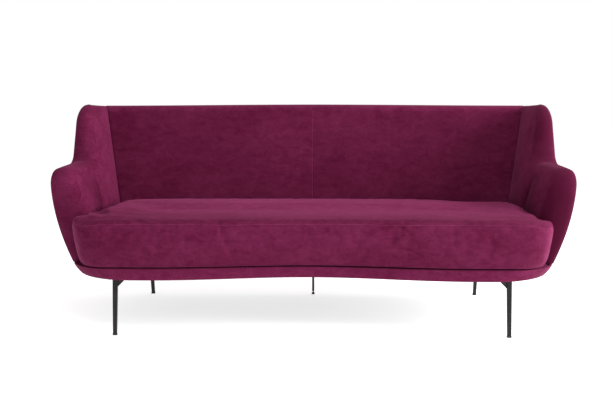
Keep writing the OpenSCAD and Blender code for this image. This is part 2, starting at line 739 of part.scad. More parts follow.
// The shell leans, so low down its station at a place lies further back
function station(y, z) = max(y, arm_front_y) + lean_share * max(0, seat_line - z);
function cushion_side(y, z) = inner_half(station(y, low_z(z)), low_z(z)) - cushion_gap + ear(y);
function droop(x, depth, wide) = corner_droop * ease(1 - (wide - abs(x)) / (2 * cushion_front_r))
    * (1 - ease(depth / (2 * cushion_front_r)));
function cushion_back(z) = corner_y - cushion_gap + lean_share * (low_z(z) + climb(z) - seat_line);
cushion_side_y = cushion_front_y + cushion_front_r;
ear_share = max(seam_gap, ear_back_y - cushion_side_y)
    / (corner_y - cushion_gap - cushion_rear_r - cushion_side_y);
// Places along the side, from the front corner to the rear corner, closer together behind the ear
side_shares = concat([for (u = steps(EAR_STEPS)) if (u > 0) ear_share * u],
    [for (u = steps(EAR_STEPS)) if (u > 0 && u < 1) mix(ear_share, 1, u)]);
function cushion_half(half, front, back, front_r, back_r) = concat(
    front_line(half, front, front_r, CUSHION_STEPS), front_turn(half, front, front_r, CUSHION_TURN_STEPS),
    [for (u = side_shares) [half, mix(front + front_r, back - back_r, u)]],
    rear_turn(half, back, back_r, ARC_STEPS), rear_line(half, back, back_r, CUSHION_REAR_STEPS));
function cushion_outline(z, inset, swell) = let (
        u = clamp((z - cushion_bottom) / (cushion_seam - cushion_bottom)),
        wide = cushion_side(cushion_front_y, z), half = wide - inset + swell * side_crown,
        front = mix(band_front_y, cushion_front_y, u) + inset - swell * border_crown,
        back = cushion_back(z) - inset,
        front_r = max(mix(cushion_low_r, cushion_front_r, u) - inset, cushion_front_r / 4),
        back_r = max(cushion_rear_r - inset, cushion_rear_r / 4),
        flat = begun_at(whole(cushion_half(half, front, back, front_r, back_r)),
            CUSHION_STEPS + CUSHION_TURN_STEPS))
    [for (p = bend(flat, mix(top_hollow, cushion_hollow, u), half - back_r, front, back))
        [p[0] * cushion_side(p[1], z) / wide, p[1],
            z + climb(z) * clamp((p[1] - front) / (back - front)) - u * droop(p[0], p[1] - front, wide)]];

function crown_z(inset, reach) = cushion_seam + cushion_crown * (1 - pow(1 - inset / reach, dome_power_share));

module seat_cushion() {
    reach = (corner_y - cushion_front_y) / 2;
    edge = piping_r / 3;
    color("#8a2a58") loft(concat(
        [for (u = steps(2)) cushion_outline(cushion_bottom + piping_r * (1 - cos(turn_angle * u)),
            piping_r * (1 - sin(turn_angle * u)), 0)],
        [for (u = [0.25, 0.5, 0.75]) cushion_outline(mix(cushion_bottom, cushion_seam, u), 0, dome(u))],
        [cushion_outline(cushion_seam - piping_r / 2, 0, 0), cushion_outline(cushion_seam, edge, 0)],
        [for (i = [1:CROWN_STEPS])
            let (inset = edge + reach * crown_reach_share * pow(i / CROWN_STEPS, crown_spread_share))
            cushion_outline(crown_z(inset, reach), inset, 0)]));
}

// Zip in the rear border of the cushion
module cushion_zip() {
    top = seat_line - zip_drop;
    low = top - zip_h;
    function rear_face(x, z) = corner_y - cushion_gap + lean_share * (z - seat_line) + seam_gap
        + bow(x, cushion_side(corner_y, z) - cushion_rear_r);
    color("#3d0f26") loft([for (u = steps(FRONT_STEPS)) let (x = mix(zip_len / 2, -zip_len / 2, u))
        [[x, rear_face(x, low), low], [x, rear_face(x, top), top],
            [x, rear_face(x, top) + zip_thick, top], [x, rear_face(x, low) + zip_thick, low]]]);
}

// Legs

function splay(foot_y) = foot_y < 0 ? front_splay : -rear_splay;
function leg_top_y(foot_y) = foot_y + splay(foot_y);
function plate_y(foot_y) = leg_top_y(foot_y) - sign(foot_y) * plate_setback;
function screw_places(foot_y) = [for (sx = [-1, 1]) for (sy = [-1, 1])
    [foot_x + sx * (plate_w / 2 - screw_inset), plate_y(foot_y) + sy * (plate_len / 2 - screw_inset)]];

module rounded_bar(w, d, r) {
    for (size = [[w, d - 2 * r], [w - 2 * r, d]]) square(size, center = true);
    for (sx = [-1, 1]) for (sy = [-1, 1]) translate([sx * (w / 2 - r), sy * (d / 2 - r)]) circle(r, $fn = 24);
}

module screw_hole(places, d, bottom, top) {
    for (p = places) translate([p[0], p[1], bottom]) cylinder(d = d, h = top - bottom, $fn = 24);
}

module leg_bores() {
    for (y = [front_foot_y, rear_foot_y])
        screw_hole(screw_places(y), screw_d + screw_play, rail_bottom - overrun, screw_top);
}

function support_places() = [for (a = [30, 150, 270])
    [support_screw_ring / 2 * cos(a), support_y + support_screw_ring / 2 * sin(a)]];

module support_bores() {
    screw_hole(support_places(), screw_d + screw_play, rail_bottom - overrun, screw_top);
}

module leg(foot_y) {
    top_y = leg_top_y(foot_y);
    difference() {
        translate([foot_x, plate_y(foot_y), plate_bottom]) linear_extrude(plate_thick)
            rounded_bar(plate_w, plate_len, plate_r);
        screw_hole(screw_places(foot_y), screw_d + screw_play, plate_bottom - overrun, rail_bottom + overrun);
    }
    hull() {
        translate([foot_x, top_y, plate_bottom - leg_slice]) linear_extrude(leg_slice)
            rounded_bar(leg_top_w, leg_top_w * leg_depth_share, leg_edge_r);
        translate([foot_x, foot_y, glide_h]) linear_extrude(leg_slice)
            rounded_bar(leg_foot_w, leg_foot_w * leg_depth_share, leg_edge_r);
    }
    translate([foot_x, top_y + brace_thick / 2, plate_bottom]) rotate([90, 0, 0]) linear_extrude(brace_thick)
        polygon([[0, 0], [-leg_top_w / 2 - brace_reach, 0], [-leg_top_w / 2, -brace_reach], [0, -brace_reach]]);
}

module glide(foot_y) {
    w = leg_foot_w + 2 * glide_rim;
    translate([foot_x, foot_y, 0]) linear_extrude(glide_h)
        rounded_bar(w, leg_foot_w * leg_depth_share + 2 * glide_rim, leg_edge_r + glide_rim);
}

module front_left_leg() { color("#2a2829") on_left() leg(front_foot_y); }
module front_right_leg() { color("#2a2829") leg(front_foot_y); }
module rear_left_leg() { color("#2a2829") on_left() leg(rear_foot_y); }
module rear_right_leg() { color("#2a2829") leg(rear_foot_y); }
module front_left_glide() { color("#151515") on_left() glide(front_foot_y); }
module front_right_glide() { color("#151515") glide(front_foot_y); }
module rear_left_glide() { color("#151515") on_left() glide(rear_foot_y); }
module rear_right_glide() { color("#151515") glide(rear_foot_y); }

module screw(place) {
    translate([place[0], place[1], plate_bottom]) {
        translate([0, 0, -screw_head_h]) cylinder(d = screw_head_d, h = screw_head_h, $fn = 24);
        cylinder(d = screw_d, h = screw_len, $fn = 24);
    }
}

module leg_screws() {
    color("#8c8c8e") for (y = [front_foot_y, rear_foot_y]) for (p = screw_places(y)) {
        screw(p);
        on_left() screw(p);
    }
}

// Middle support: a plate under the rear rail, a thin rod and a levelling foot screwed into it
support_end = foot_h + foot_neck_h + level_travel;

module middle_support() {
    color("#2a2829") difference() {
        translate([0, support_y, 0]) {
            translate([0, 0, plate_bottom]) cylinder(d = support_plate_d, h = plate_thick, $fn = 64);
            translate([0, 0, plate_bottom - support_boss_h])
                cylinder(d = support_boss_d, h = support_boss_h, $fn = 32);
            translate([0, 0, support_end]) cylinder(d = support_d, h = plate_bottom - support_end, $fn = 32);
        }
        translate([0, support_y, support_end - overrun])
            cylinder(d = stud_d + 2 * stud_play, h = level_bore_depth + overrun, $fn = 32);
        screw_hole(support_places(), screw_d + screw_play, plate_bottom - overrun, rail_bottom + overrun);
    }
}

module support_screws() {
    color("#8c8c8e") for (p = support_places()) screw(p);
}

module levelling_foot() {
    color("#151515") translate([0, support_y, 0]) {
        cylinder(d = foot_d, h = foot_h, $fn = 48);
        translate([0, 0, foot_h]) cylinder(d1 = foot_d, d2 = foot_neck_d, h = foot_neck_h, $fn = 48);
        translate([0, 0, foot_h + foot_neck_h]) cylinder(d = stud_d, h = stud_len, $fn = 32);
    }
}

front_rail();
rear_rail();
left_side_rail();
right_side_rail();
cross_rails();
leg_blocks();
left_arm_rib();
right_arm_rib();
left_wing_rib();
right_wing_rib();
left_corner_rib();
right_corner_rib();
back_ribs();
left_arm_cap();
right_arm_cap();
left_wing_cap();
right_wing_cap();
back_cap();
seat_webbing_long();
seat_webbing_cross();
back_webbing();
left_inside_arm();
right_inside_arm();
left_inside_wing();
right_inside_wing();
left_inside_back();
right_inside_back();
left_edge_roll();
right_edge_roll();
back_edge_roll();
left_outside_arm();
right_outside_arm();
left_outside_wing();
right_outside_wing();
outside_back();
base_band();
seat_deck();
dust_cover();
seat_cushion();
cushion_zip();
front_left_leg();
front_right_leg();
rear_left_leg();
rear_right_leg();
front_left_glide();
front_right_glide();
rear_left_glide();
rear_right_glide();
leg_screws();
middle_support();
support_screws();
levelling_foot();
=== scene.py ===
"""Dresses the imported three-seat sofa: velvet covers, a filled cushion, timber, webbing, metal.

Everything is in metres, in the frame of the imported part: +Z up, front to -Y, +X to the right.
"""

import json
import logging
from collections.abc import Callable, Iterable, Sequence
from dataclasses import dataclass, replace
from enum import Enum
from functools import cached_property, partial
from math import asin, ceil, cos, exp, hypot, pi, radians, sin, sqrt, tau

import bmesh
import bpy
from bpy.types import ID, ColorRamp, Material, Mesh, NodeSocket, Object, World
from mathutils import Euler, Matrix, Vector, noise
from mathutils.bvhtree import BVHTree
from mathutils.geometry import delaunay_2d_cdt


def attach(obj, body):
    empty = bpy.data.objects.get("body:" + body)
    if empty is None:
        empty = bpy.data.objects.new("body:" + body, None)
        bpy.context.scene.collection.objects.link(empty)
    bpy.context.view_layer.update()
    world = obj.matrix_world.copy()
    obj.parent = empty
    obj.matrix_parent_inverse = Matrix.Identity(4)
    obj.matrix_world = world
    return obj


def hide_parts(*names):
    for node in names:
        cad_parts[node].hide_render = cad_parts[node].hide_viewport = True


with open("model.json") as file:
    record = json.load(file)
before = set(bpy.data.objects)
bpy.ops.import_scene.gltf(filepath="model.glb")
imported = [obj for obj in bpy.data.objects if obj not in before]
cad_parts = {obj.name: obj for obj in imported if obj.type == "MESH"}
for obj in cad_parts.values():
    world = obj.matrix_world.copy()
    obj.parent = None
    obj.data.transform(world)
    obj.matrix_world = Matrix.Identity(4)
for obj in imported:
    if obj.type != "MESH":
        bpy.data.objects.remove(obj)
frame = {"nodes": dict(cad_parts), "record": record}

LOG = logging.getLogger("sofa")
Colour = tuple[float, float, float]
Place = tuple[float, float]
Triple = tuple[float, float, float]
Rim = tuple[float, float, float, float]  # a place of a frame's edge: station, height, outward way
# Distances: points welded, faces dissolved, points of a cut cloth joined, side of a small triangle
WELD, SLIVER, TOUCH, SPECK = 0.00008, 0.00002, 0.00001, 0.0004
# How pale the corded seams are: standing velvet and a painted highlight
CORD_NAP_AND_HIGHLIGHT = 0.28
WHITE = (1, 1, 1)
# Distances from a fold at which a cover gets extra rows
FOLD_PLACES = (0.034, 0.026, 0.019, 0.013, 0.008, 0.004, 0.0015)


class Body(Enum):
    """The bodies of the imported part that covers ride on."""

    FRAME = "frame"
    CUSHION = "cushion"


class Side(Enum):
    """The two sides of the sofa, as the sign of their x."""

    LEFT = -1
    RIGHT = 1

    @property
    def word(self) -> str:
        """The side's name, as the nodes have it."""
        return self.name.lower()


class Slot(Enum):
    """The material slots of the record."""

    VELVET = "velvet"
    TIMBER = "timber"
    WEBBING = "webbing"
    LINING = "lining_cloth"
    TAPE = "zip_tape"
    METAL = "dark_metal"
    GLIDE = "glide_plastic"
    STEEL = "screw_steel"


# Curves of one number


def mix(a: float, b: float, u: float) -> float:
    """The value a share u of the way from a to b."""
    return a + (b - a) * u


def clamp(u: float) -> float:
    """u held between 0 and 1."""
    return min(1.0, max(0.0, u))


def ease(u: float) -> float:
    """A soft step from 0 to 1."""
    v = clamp(u)
    return v * v * (3 - 2 * v)


def dome(u: float, power: float = 2.4) -> float:
    """A swelling that is 0 at both ends of 0 to 1, and 1 in the middle."""
    return 1 - abs(2 * clamp(u) - 1) ** power


def round_out(u: float) -> float:
    """A rise from 0 to 1 that is steep at first and ends level."""
    return 1 - (1 - u) ** 2


def bell(distance: float, width: float) -> float:
    """A share that is 1 at distance 0 and fades out over a width."""
    return exp(-((distance / width) ** 2))


def steps(count: int) -> list[float]:
    """count + 1 shares from 0 to 1."""
    return [i / count for i in range(count + 1)]


def quarter(count: int) -> list[float]:
    """count + 1 angles from 0 to a right angle."""
    return [pi / 2 * u for u in steps(count)]


def corner_arc(s: float, z: float, r: float, count: int) -> list[Rim]:
    """The round corner of a frame's edge, from its front up to its top, about a centre."""
    return [(s - r * cos(a), z + r * sin(a), -cos(a), sin(a)) for a in quarter(count)]


def round_in(distance: float, radius: float, depth: float) -> float:
    """How deep a rounded cover edge lies at a distance from its seam.

    Args:
        distance: how far the point is from the seam.
        radius: the width of the rounding.
        depth: the depth at the seam itself.

    Returns:
        The depth, which falls to 0 with no kink at the radius.
    """
    if distance >= radius:
        return 0.0
    v = 1 - distance / radius
    return depth * (1 - sqrt(max(0.0, 1 - v * v)))


def closer(start: float, end: float, count: int, near: Sequence[float],
           both: bool = False) -> list[float]:
    """Places from start to end, evenly spread, with more of them near the end.

    Args:
        start: the first place.
        end: the last place, which may be lower than the first.
        count: the number of even steps.
        near: the distances from the end that are added.
        both: add them at the start as well.

    Returns:
        The places in order, from start to end.
    """
    way = 1.0 if end > start else -1.0
    reach = max(near)
    low = reach if both else 0.0
    length = abs(end - start)
    even = [mix(low, length - reach, u) for u in steps(count)]
    extra = [length - d for d in near] + [length]
    if both:
        extra += [*near, 0.0]
    return [start + way * d for d in sorted(set(even + extra))]


@dataclass(frozen=True)
class Shell:
    """The curved shell of arms, wings and back: the surfaces of the part's source, in metres.

    A station s runs along the inside of the shell at the seat: on the side it is the y of the
    place, and past the rear corner it goes on along the back to the middle.
    """

    arm_height: float = 0.608
    arm_rise: float = 0.012
    back_height: float = 0.849
    back_rise: float = 0.005
    wing_rise: float = 0.004
    seat_line: float = 0.447
    arm_inner_x: float = 0.864
    seam_step: float = 0.009
    corner_step: float = 0.019
    arm_front_y: float = -0.234
    seam_y: float = -0.092
    corner_y: float = 0.163
    back_bow: float = 0.034
    arm_flare: float = 0.33
    wing_flare: float = 0.21
    low_flare: float = 0.08
    lean_share: float = 0.36
    arm_reach: float = 0.134
    flank_z: float = 0.56
    flank_tuck: float = 0.076
    wing_top_thick: float = 0.052
    back_top_thick: float = 0.096
    rear_tuck: float = 0.127
    low_corner_r: float = 0.15
    top_corner_r: float = 0.09
    arm_roll: float = 0.038
    wing_roll: float = 0.042
    back_roll: float = 0.024
    arm_corner_r: float = 0.03
    wing_corner_r: float = 0.036
    hollow_r: float = 0.062
    wing_step: float = 0.05
    foot: float = 0.25
    turn_len: float = 0.062
    flank_power: float = 1.9
    rear_power: float = 1.2
    roll_full: float = 0.42
    soft_full: float = 0.72

    @cached_property
    def wing_height(self) -> float:
        """Height of the wing top."""
        return self.back_height + self.wing_rise

    @cached_property
    def flank_x(self) -> float:
        """Half width of the shell at its widest."""
        return self.arm_inner_x + self.arm_reach

    @cached_property
    def flank_top_x(self) -> float:
        """Half width of the outer face at the wing top."""
        rise = self.wing_height - self.seat_line
        inside = self.arm_inner_x - self.seam_step + self.wing_flare * rise
        return inside + self.wing_top_thick

    @cached_property
    def rear_y(self) -> float:
        """Rearmost line of the back."""
        rise = self.back_height + self.back_rise - self.seat_line
        return self.corner_y + self.back_bow + self.lean_share * rise + self.back_top_thick

    @cached_property
    def corner_inner_x(self) -> float:
        """Half width in the rear corners, at the seat."""
        return self.arm_inner_x - self.corner_step

    @cached_property
    def end_s(self) -> float:
        """Station of the middle of the back."""
        return self.corner_y + self.corner_inner_x

    @cached_property
    def arm_shoulder(self) -> float:
        """Height of the arm frame at its front."""
        return self.arm_height - self.arm_roll

    @cached_property
    def wing_shoulder(self) -> float:
        """Height of the wing frame at its front."""
        return self.wing_height - self.wing_roll

    @cached_property
    def wing_edge_s(self) -> float:
        """Station of the wing frame's front edge."""
        return self.seam_y + self.wing_step

    @cached_property
    def hollow_centre(self) -> Place:
        """Centre of the hollow between arm and wing, as station and height."""
        return self.wing_edge_s - self.hollow_r, self.arm_shoulder + self.arm_rise + self.hollow_r

    @cached_property
    def hollow_start(self) -> float:
        """Angle of the hollow at which the seam between arm and wing ends."""
        return asin((self.seam_y - self.hollow_centre[0]) / self.hollow_r)

    @cached_property
    def seam_top(self) -> float:
        """Height at which the seam between arm and wing reaches the frame's edge."""
        return self.hollow_centre[1] - self.hollow_r * cos(self.hollow_start)

    def back_part(self, s: float) -> float:
        """Share of the way along the back, from the corner to the middle."""
        return max(0.0, s - self.corner_y) / self.corner_inner_x

    def arm_part(self, s: float) -> float:
        """Share of the way along the arm, from its front to the seam."""
        return (s - self.arm_front_y) / (self.seam_y - self.arm_front_y)

    def wing_part(self, s: float) -> float:
        """Soft share of the way along the wing, from its front edge to the corner."""
        return ease((s - self.wing_edge_s) / (self.corner_y - self.wing_edge_s))

    def lean(self, s: float) -> float:
        """Backward lean at a station."""
        return self.lean_share * ease(self.arm_part(s))

    def along(self, s: float, front: float, seam: float, corner: float) -> float:
        """A value given at the arm front, the seam and the rear corner, straight between them."""
        if s <= self.seam_y:
            return mix(front, seam, clamp(self.arm_part(s)))
        return mix(seam, corner, clamp((s - self.seam_y) / (self.corner_y - self.seam_y)))

    def inner_half(self, s: float, z: float) -> float:
        """Half width of the inner face on the side."""
        seam = self.arm_inner_x - self.seam_step
        half = self.along(s, self.arm_inner_x, seam, self.corner_inner_x)
        flare = self.along(s, self.arm_flare, self.wing_flare, self.wing_flare)
        return half + (z - self.seat_line) * (flare if z > self.seat_line else self.low_flare)

    def inner(self, s: float, z: float) -> Place:
        """Place in plan of the inner face."""
        part = self.back_part(s)
        lean = self.lean(s) * (z - self.seat_line)
        y = min(s, self.corner_y) + self.back_bow * round_out(part) + lean
        return self.inner_half(s, z) * (1 - part), y

    def flank(self, z: float) -> float:
        """Half width of the outer face."""
        if z < self.flank_z:
            share = (self.flank_z - z) / (self.flank_z - self.foot)
            return self.flank_x - self.flank_tuck * share ** self.flank_power
        share = ease((z - self.flank_z) / (self.wing_height - self.flank_z))
        return mix(self.flank_x, self.flank_top_x, share)

    def rear(self, z: float) -> float:
        """Rearmost line of the outer face."""
        share = max(0.0, self.wing_height - z) / (self.wing_height - self.foot)
        return self.rear_y - self.rear_tuck * share ** self.rear_power

    def corner_r(self, z: float) -> float:
        """Radius of the outer rear corner."""
        share = (z - self.foot) / (self.wing_height - self.foot)
        return mix(self.low_corner_r, self.top_corner_r, share)

    def outer(self, s: float, z: float) -> Place:
        """Place in plan of the outer face: along the flank, round the corner, along the back."""
        r, x, y = self.corner_r(z), self.flank(z), self.rear(z) - self.back_bow
        start, end = self.corner_y - self.turn_len, self.corner_y + self.turn_len
        if s <= self.seam_y:
            return x, self.inner(s, z)[1]
        if s <= start:
            share = (s - self.seam_y) / (start - self.seam_y)
            return x, mix(self.inner(self.seam_y, z)[1], y - r, share)
        if s <= end:
            a = pi / 2 * (s - start) / (end - start)
            return x - r + r * cos(a), y - r + r * sin(a)
        q = (s - end) / (self.end_s - end)
        return (x - r) * (1 - q), y + self.back_bow * round_out(q)

    def through(self, s: float, z: float, k: float) -> Vector:
        """A point of the shell, from the inner face at k = 0 to the outer face at 1."""
        p, q = self.inner(s, z), self.outer(s, z)
        return Vector((mix(p[0], q[0], k), mix(p[1], q[1], k), z))

    def span(self, s: float, z: float) -> float:
        """Thickness of the shell."""
        p, q = self.inner(s, z), self.outer(s, z)
        return hypot(q[0] - p[0], q[1] - p[1])

    def from_inner(self, s: float, z: float, depth: float) -> Vector:
        """A point at a depth behind the inner face."""
        return self.through(s, z, depth / self.span(s, z))

    def from_outer(self, s: float, z: float, depth: float) -> Vector:
        """A point at a depth inside the outer face."""
        return self.through(s, z, 1 - depth / self.span(s, z))

    def roll(self, s: float) -> float:
        """Reach of the padded edge above the frame."""
        if s <= self.seam_y:
            return self.arm_roll
        return mix(self.wing_roll, self.back_roll, self.wing_part(s))

    def section(self, a: float) -> float:
        """Share of the padded edge's reach at an angle across it: squarer on its outer side."""
        return sin(a) ** (self.soft_full if a < pi / 2 else self.roll_full)

    def top_line(self, s: float) -> float:
        """Height of the wings and the back."""
        if s <= self.corner_y:
            return mix(self.wing_height, self.back_height, self.wing_part(s))
        return self.back_height + self.back_rise * ease(self.back_part(s))

    def arm_line(self, s: float) -> float:
        """Height of the arm frame."""
        return self.arm_shoulder + self.arm_rise * clamp(
            (s - self.arm_front_y) / (self.hollow_centre[0] - self.arm_front_y))

    def frame_line(self, s: float) -> float:
        """Height of the frame under the padded edge of wings and back."""
        return self.top_line(s) - self.roll(s)

    def hollow_point(self, angle: float) -> Rim:
        """A place on the hollow between arm and wing."""
        s, z = self.hollow_centre
        return (s + self.hollow_r * sin(angle), z - self.hollow_r * cos(angle),
                -sin(angle), cos(angle))


# Shader expressions; the numbers are the sockets of a Mix node that blends colours

MIX_SHARE, MIX_A, MIX_B, MIX_COLOUR = 0, 6, 7, 2


@dataclass(frozen=True)
class Wire:
    """A socket that takes part in Python expressions; each operation adds its node."""

    sheet: "Sheet"
    socket: NodeSocket

    def _math(self, operation: str, first: "Wire | float", second: "Wire | float") -> "Wire":
        """Adds a Math node."""
        return self.sheet.node("ShaderNodeMath", {"operation": operation}, {0: first, 1: second})

    def __add__(self, other: "Wire | float") -> "Wire":
        """self + other."""
        return self._math("ADD", self, other)

    __radd__ = __add__

    def __mul__(self, other: "Wire | float") -> "Wire":
        """self * other."""
        return self._math("MULTIPLY", self, other)

    __rmul__ = __mul__

    def __sub__(self, other: "Wire | float") -> "Wire":
        """self - other."""
        return self._math("SUBTRACT", self, other)

    def __rsub__(self, other: "Wire | float") -> "Wire":
        """other - self."""
        return self._math("SUBTRACT", other, self)

    def held(self) -> "Wire":
        """The value, held between 0 and 1."""
        return self.sheet.node("ShaderNodeClamp", values={"Value": self})


class Sheet:
    """The nodes of a material, or of the world, in the making."""

    def __init__(self, owner: Material | World) -> None:
        """Starts with no nodes."""
        self.owner = owner
        owner.use_nodes = True
        self.tree = owner.node_tree
        self.tree.nodes.clear()

    def node(self, kind: str, settings: dict[str, object] | None = None,
             values: dict[str | int, object] | None = None, output: str | int = 0) -> Wire:
        """Adds a node.

        Args:
            kind: the node's type.
            settings: its properties, set first; "stops" are the places and colours of a ramp.
            values: a value or a Wire for each input, by name or number.
            output: the output that is passed on.

        Returns:
            The output, as a Wire.
        """
        node = self.tree.nodes.new(kind)
        for name, value in (settings or {}).items():
            if name == "stops":
                self._set_stops(node.color_ramp, value)
            else:
                setattr(node, name, value)
        for name, value in (values or {}).items():
            into = node.inputs[name]
            if isinstance(value, Wire):
                self.tree.links.new(value.socket, into)
            else:
                into.default_value = (*value, 1.0) if into.type == "RGBA" else value
        return Wire(self, node.outputs[output])

    @staticmethod
    def _set_stops(ramp: ColorRamp, stops: Sequence[tuple[float, float]]) -> None:
        """Gives a ramp its grey stops, as pairs of place and value."""
        while len(ramp.elements) < len(stops):
            ramp.elements.new(0.5)
        for element, (place, value) in zip(ramp.elements, stops):
            element.position = place
            element.color = (value, value, value, 1)

    def blend(self, a: Wire | Colour, b: Wire | Colour, share: Wire | float) -> Wire:
        """A colour a share of the way from a to b."""
        values = {MIX_SHARE: share, MIX_A: a, MIX_B: b}
        return self.node("ShaderNodeMix", {"data_type": "RGBA"}, values, output=MIX_COLOUR)

    def levels(self, value: Wire, *stops: Place) -> Wire:
        """A value sent through a grey ramp, whose stops are pairs of place and value."""
        return self.node("ShaderNodeValToRGB", {"stops": stops}, {0: value})

    def grain(self, scale: float, detail: float = 2.0, stretch: Triple = (1, 1, 1),
              rough: float = 0.5, twist: float = 0.0) -> Wire:
        """Noise in the object's own metres.

        Args:
            scale: waves per metre.
            detail: layers of finer waves.
            stretch: how much denser it is along each axis.
            rough: strength of the finer layers.
            twist: distortion of the pattern.

        Returns:
            The noise, from 0 to 1, as a Wire.
        """
        spread = self.node("ShaderNodeMapping", values={"Vector": self.place(), "Scale": stretch})
        return self.node("ShaderNodeTexNoise", values={
            "Vector": spread, "Scale": scale, "Detail": detail, "Roughness": rough,
            "Distortion": twist})

    def place(self) -> Wire:
        """The place on the piece, in its own metres."""
        return self.node("ShaderNodeTexCoord", output="Object")

    def written(self, name: str) -> Wire:
        """A value that is written on the piece's mesh."""
        return self.node("ShaderNodeAttribute", {"attribute_name": name}, output="Fac")

    def bump(self, height: Wire, strength: float, distance: float) -> Wire:
        """A Bump node that turns a height into normals."""
        return self.node("ShaderNodeBump", values={
            "Height": height, "Strength": strength, "Distance": distance})

    def finish(self, values: dict[str | int, object]) -> Material:
        """Ends the material with its Principled shader, from a value or a Wire for each input."""
        self.end(self.node("ShaderNodeBsdfPrincipled", values=values), "ShaderNodeOutputMaterial")
        return self.owner

    def end(self, shader: Wire, kind: str) -> None:
        """Links a shader to an output node of the given kind."""
        out = self.tree.nodes.new(kind)
        self.tree.links.new(shader.socket, out.inputs["Surface"])


@dataclass(frozen=True)
class Velvet:
    """Brushed velvet: a deep ground, paler along seams and edges where the velvet stands up and
    where highlights are painted, and darker where shade is painted.
    """

    name: str
    ground: Colour = (0.088, 0.0038, 0.028)
    # The pale colour: random brushed tone, and the painted highlights written on the meshes
    raised_and_lit: Colour = (0.190, 0.022, 0.078)
    # The dark colour: painted shade written on the meshes, and random darker streaks
    shade_and_streak_colour: Colour = (0.055, 0.002, 0.017)
    sheen_tint: Colour = (0.85, 0.22, 0.46)
    sheen: float = 0.14
    sheen_rough: float = 0.35
    gloss: float = 0.06
    brushed: float = 0.68
    mottle: Triple = (0.26, 0.40, 0.34)
    mottle_stops: tuple[Place, Place] = ((0.40, 0.0), (0.62, 1.0))
    stroke_shade: float = 0.12
    rough: Triple = (0.78, 0.14, 0.05)
    relief: Triple = (0.5, 0.5, 0.6)

    def make(self) -> Material:
        """Builds the material, with its pale standing velvet, its painted highlights and its
        painted shade from the meshes' own values.
        """
        sheet = Sheet(bpy.data.materials.new(self.name))
        nap_and_highlight, shade = sheet.written("nap_and_highlight"), sheet.written("shade")
        blotch = sheet.grain(scale=9.0, detail=3.0, stretch=(0.5, 1, 1), twist=0.4)
        stroke = sheet.grain(scale=42.0, detail=5.0, stretch=(0.6, 1, 1), rough=0.62, twist=0.8)
        fleck = sheet.grain(scale=210.0, detail=4.0, rough=0.7)
        pile = sheet.grain(scale=900.0, rough=0.6)
        of_blotch, of_stroke, of_fleck = self.mottle
        mottle = sheet.levels(blotch * of_blotch + stroke * of_stroke + fleck * of_fleck,
                              *self.mottle_stops)
        # Random brushing, made paler by the standing velvet and the painted highlights written on
        # the mesh
        brushed = sheet.blend(self.ground, self.raised_and_lit, (mottle * self.brushed + nap_and_highlight).held())
        # Painted shade written on the mesh, with random darker streaks
        dark = (shade + (1 - stroke) * self.stroke_shade).held()
        rough, by_fleck, by_nap = self.rough
        of_pile, of_fleck, of_stroke = self.relief
        relief = pile * of_pile + fleck * of_fleck + stroke * of_stroke
        return sheet.finish({
            "Base Color": sheet.blend(brushed, self.shade_and_streak_colour, dark),
            "Roughness": rough + fleck * by_fleck - nap_and_highlight * by_nap,
            "Normal": sheet.bump(relief, strength=0.5, distance=0.0013),
            "Sheen Weight": self.sheen, "Sheen Roughness": self.sheen_rough,
            "Sheen Tint": self.sheen_tint, "Specular IOR Level": self.gloss})


@dataclass(frozen=True)
class Woven:
    """A plain woven cloth or tape."""

    name: str
    dark: Colour
    light: Colour
    threads: float = 45.0
    depth: float = 0.0004
    weave: float = 0.6
    wear: float = 0.5
    rough: Place = (0.82, 0.12)

    def make(self) -> Material:
        """Builds the material, with threads that cross."""
        sheet = Sheet(bpy.data.materials.new(self.name))
        place = sheet.place()
        across, along = [
            sheet.node("ShaderNodeTexWave", {"wave_type": "BANDS", "bands_direction": way},
                       {"Vector": place, "Scale": self.threads, "Distortion": 0.6, "Detail": 1.0})
            for way in ("X", "Y")]
        wear = sheet.grain(scale=60.0, detail=4.0)
        weave = (across * 0.5 + along * 0.5).held()
        rough, by_wear = self.rough
        return sheet.finish({
            "Base Color": sheet.blend(self.dark, self.light,
                                      (weave * self.weave + wear * self.wear).held()),
            "Roughness": rough + wear * by_wear,
            "Normal": sheet.bump(weave, strength=0.5, distance=self.depth),
            "Sheen Weight": 0.04, "Specular IOR Level": 0.1})


@dataclass(frozen=True)
class Timber:
    """Sanded light wood with its grain along one axis."""

    name: str
    early: Colour = (0.56, 0.38, 0.21)
    late: Colour = (0.36, 0.21, 0.10)
    along: Triple = (0.06, 1.0, 1.0)
    rings: float = 0.7
    pores: float = 0.2
    rough: Place = (0.52, 0.2)
    ring_relief: float = 0.4

    def make(self) -> Material:
        """Builds the material, with growth rings and pores."""
        sheet = Sheet(bpy.data.materials.new(self.name))
        rings = sheet.grain(scale=55.0, detail=3.0, stretch=self.along, twist=1.6)
        pores = sheet.grain(scale=700.0, stretch=self.along, rough=0.7)
        band = sheet.levels(rings, (0.38, 0.0), (0.5, 0.7), (0.6, 1.0))
        rough, by_pores = self.rough
        return sheet.finish({
            "Base Color": sheet.blend(self.early, self.late,
                                      (band * self.rings + pores * self.pores).held()),
            "Roughness": rough + pores * by_pores,
            "Normal": sheet.bump(pores + rings * self.ring_relief, strength=0.3, distance=0.0006)})


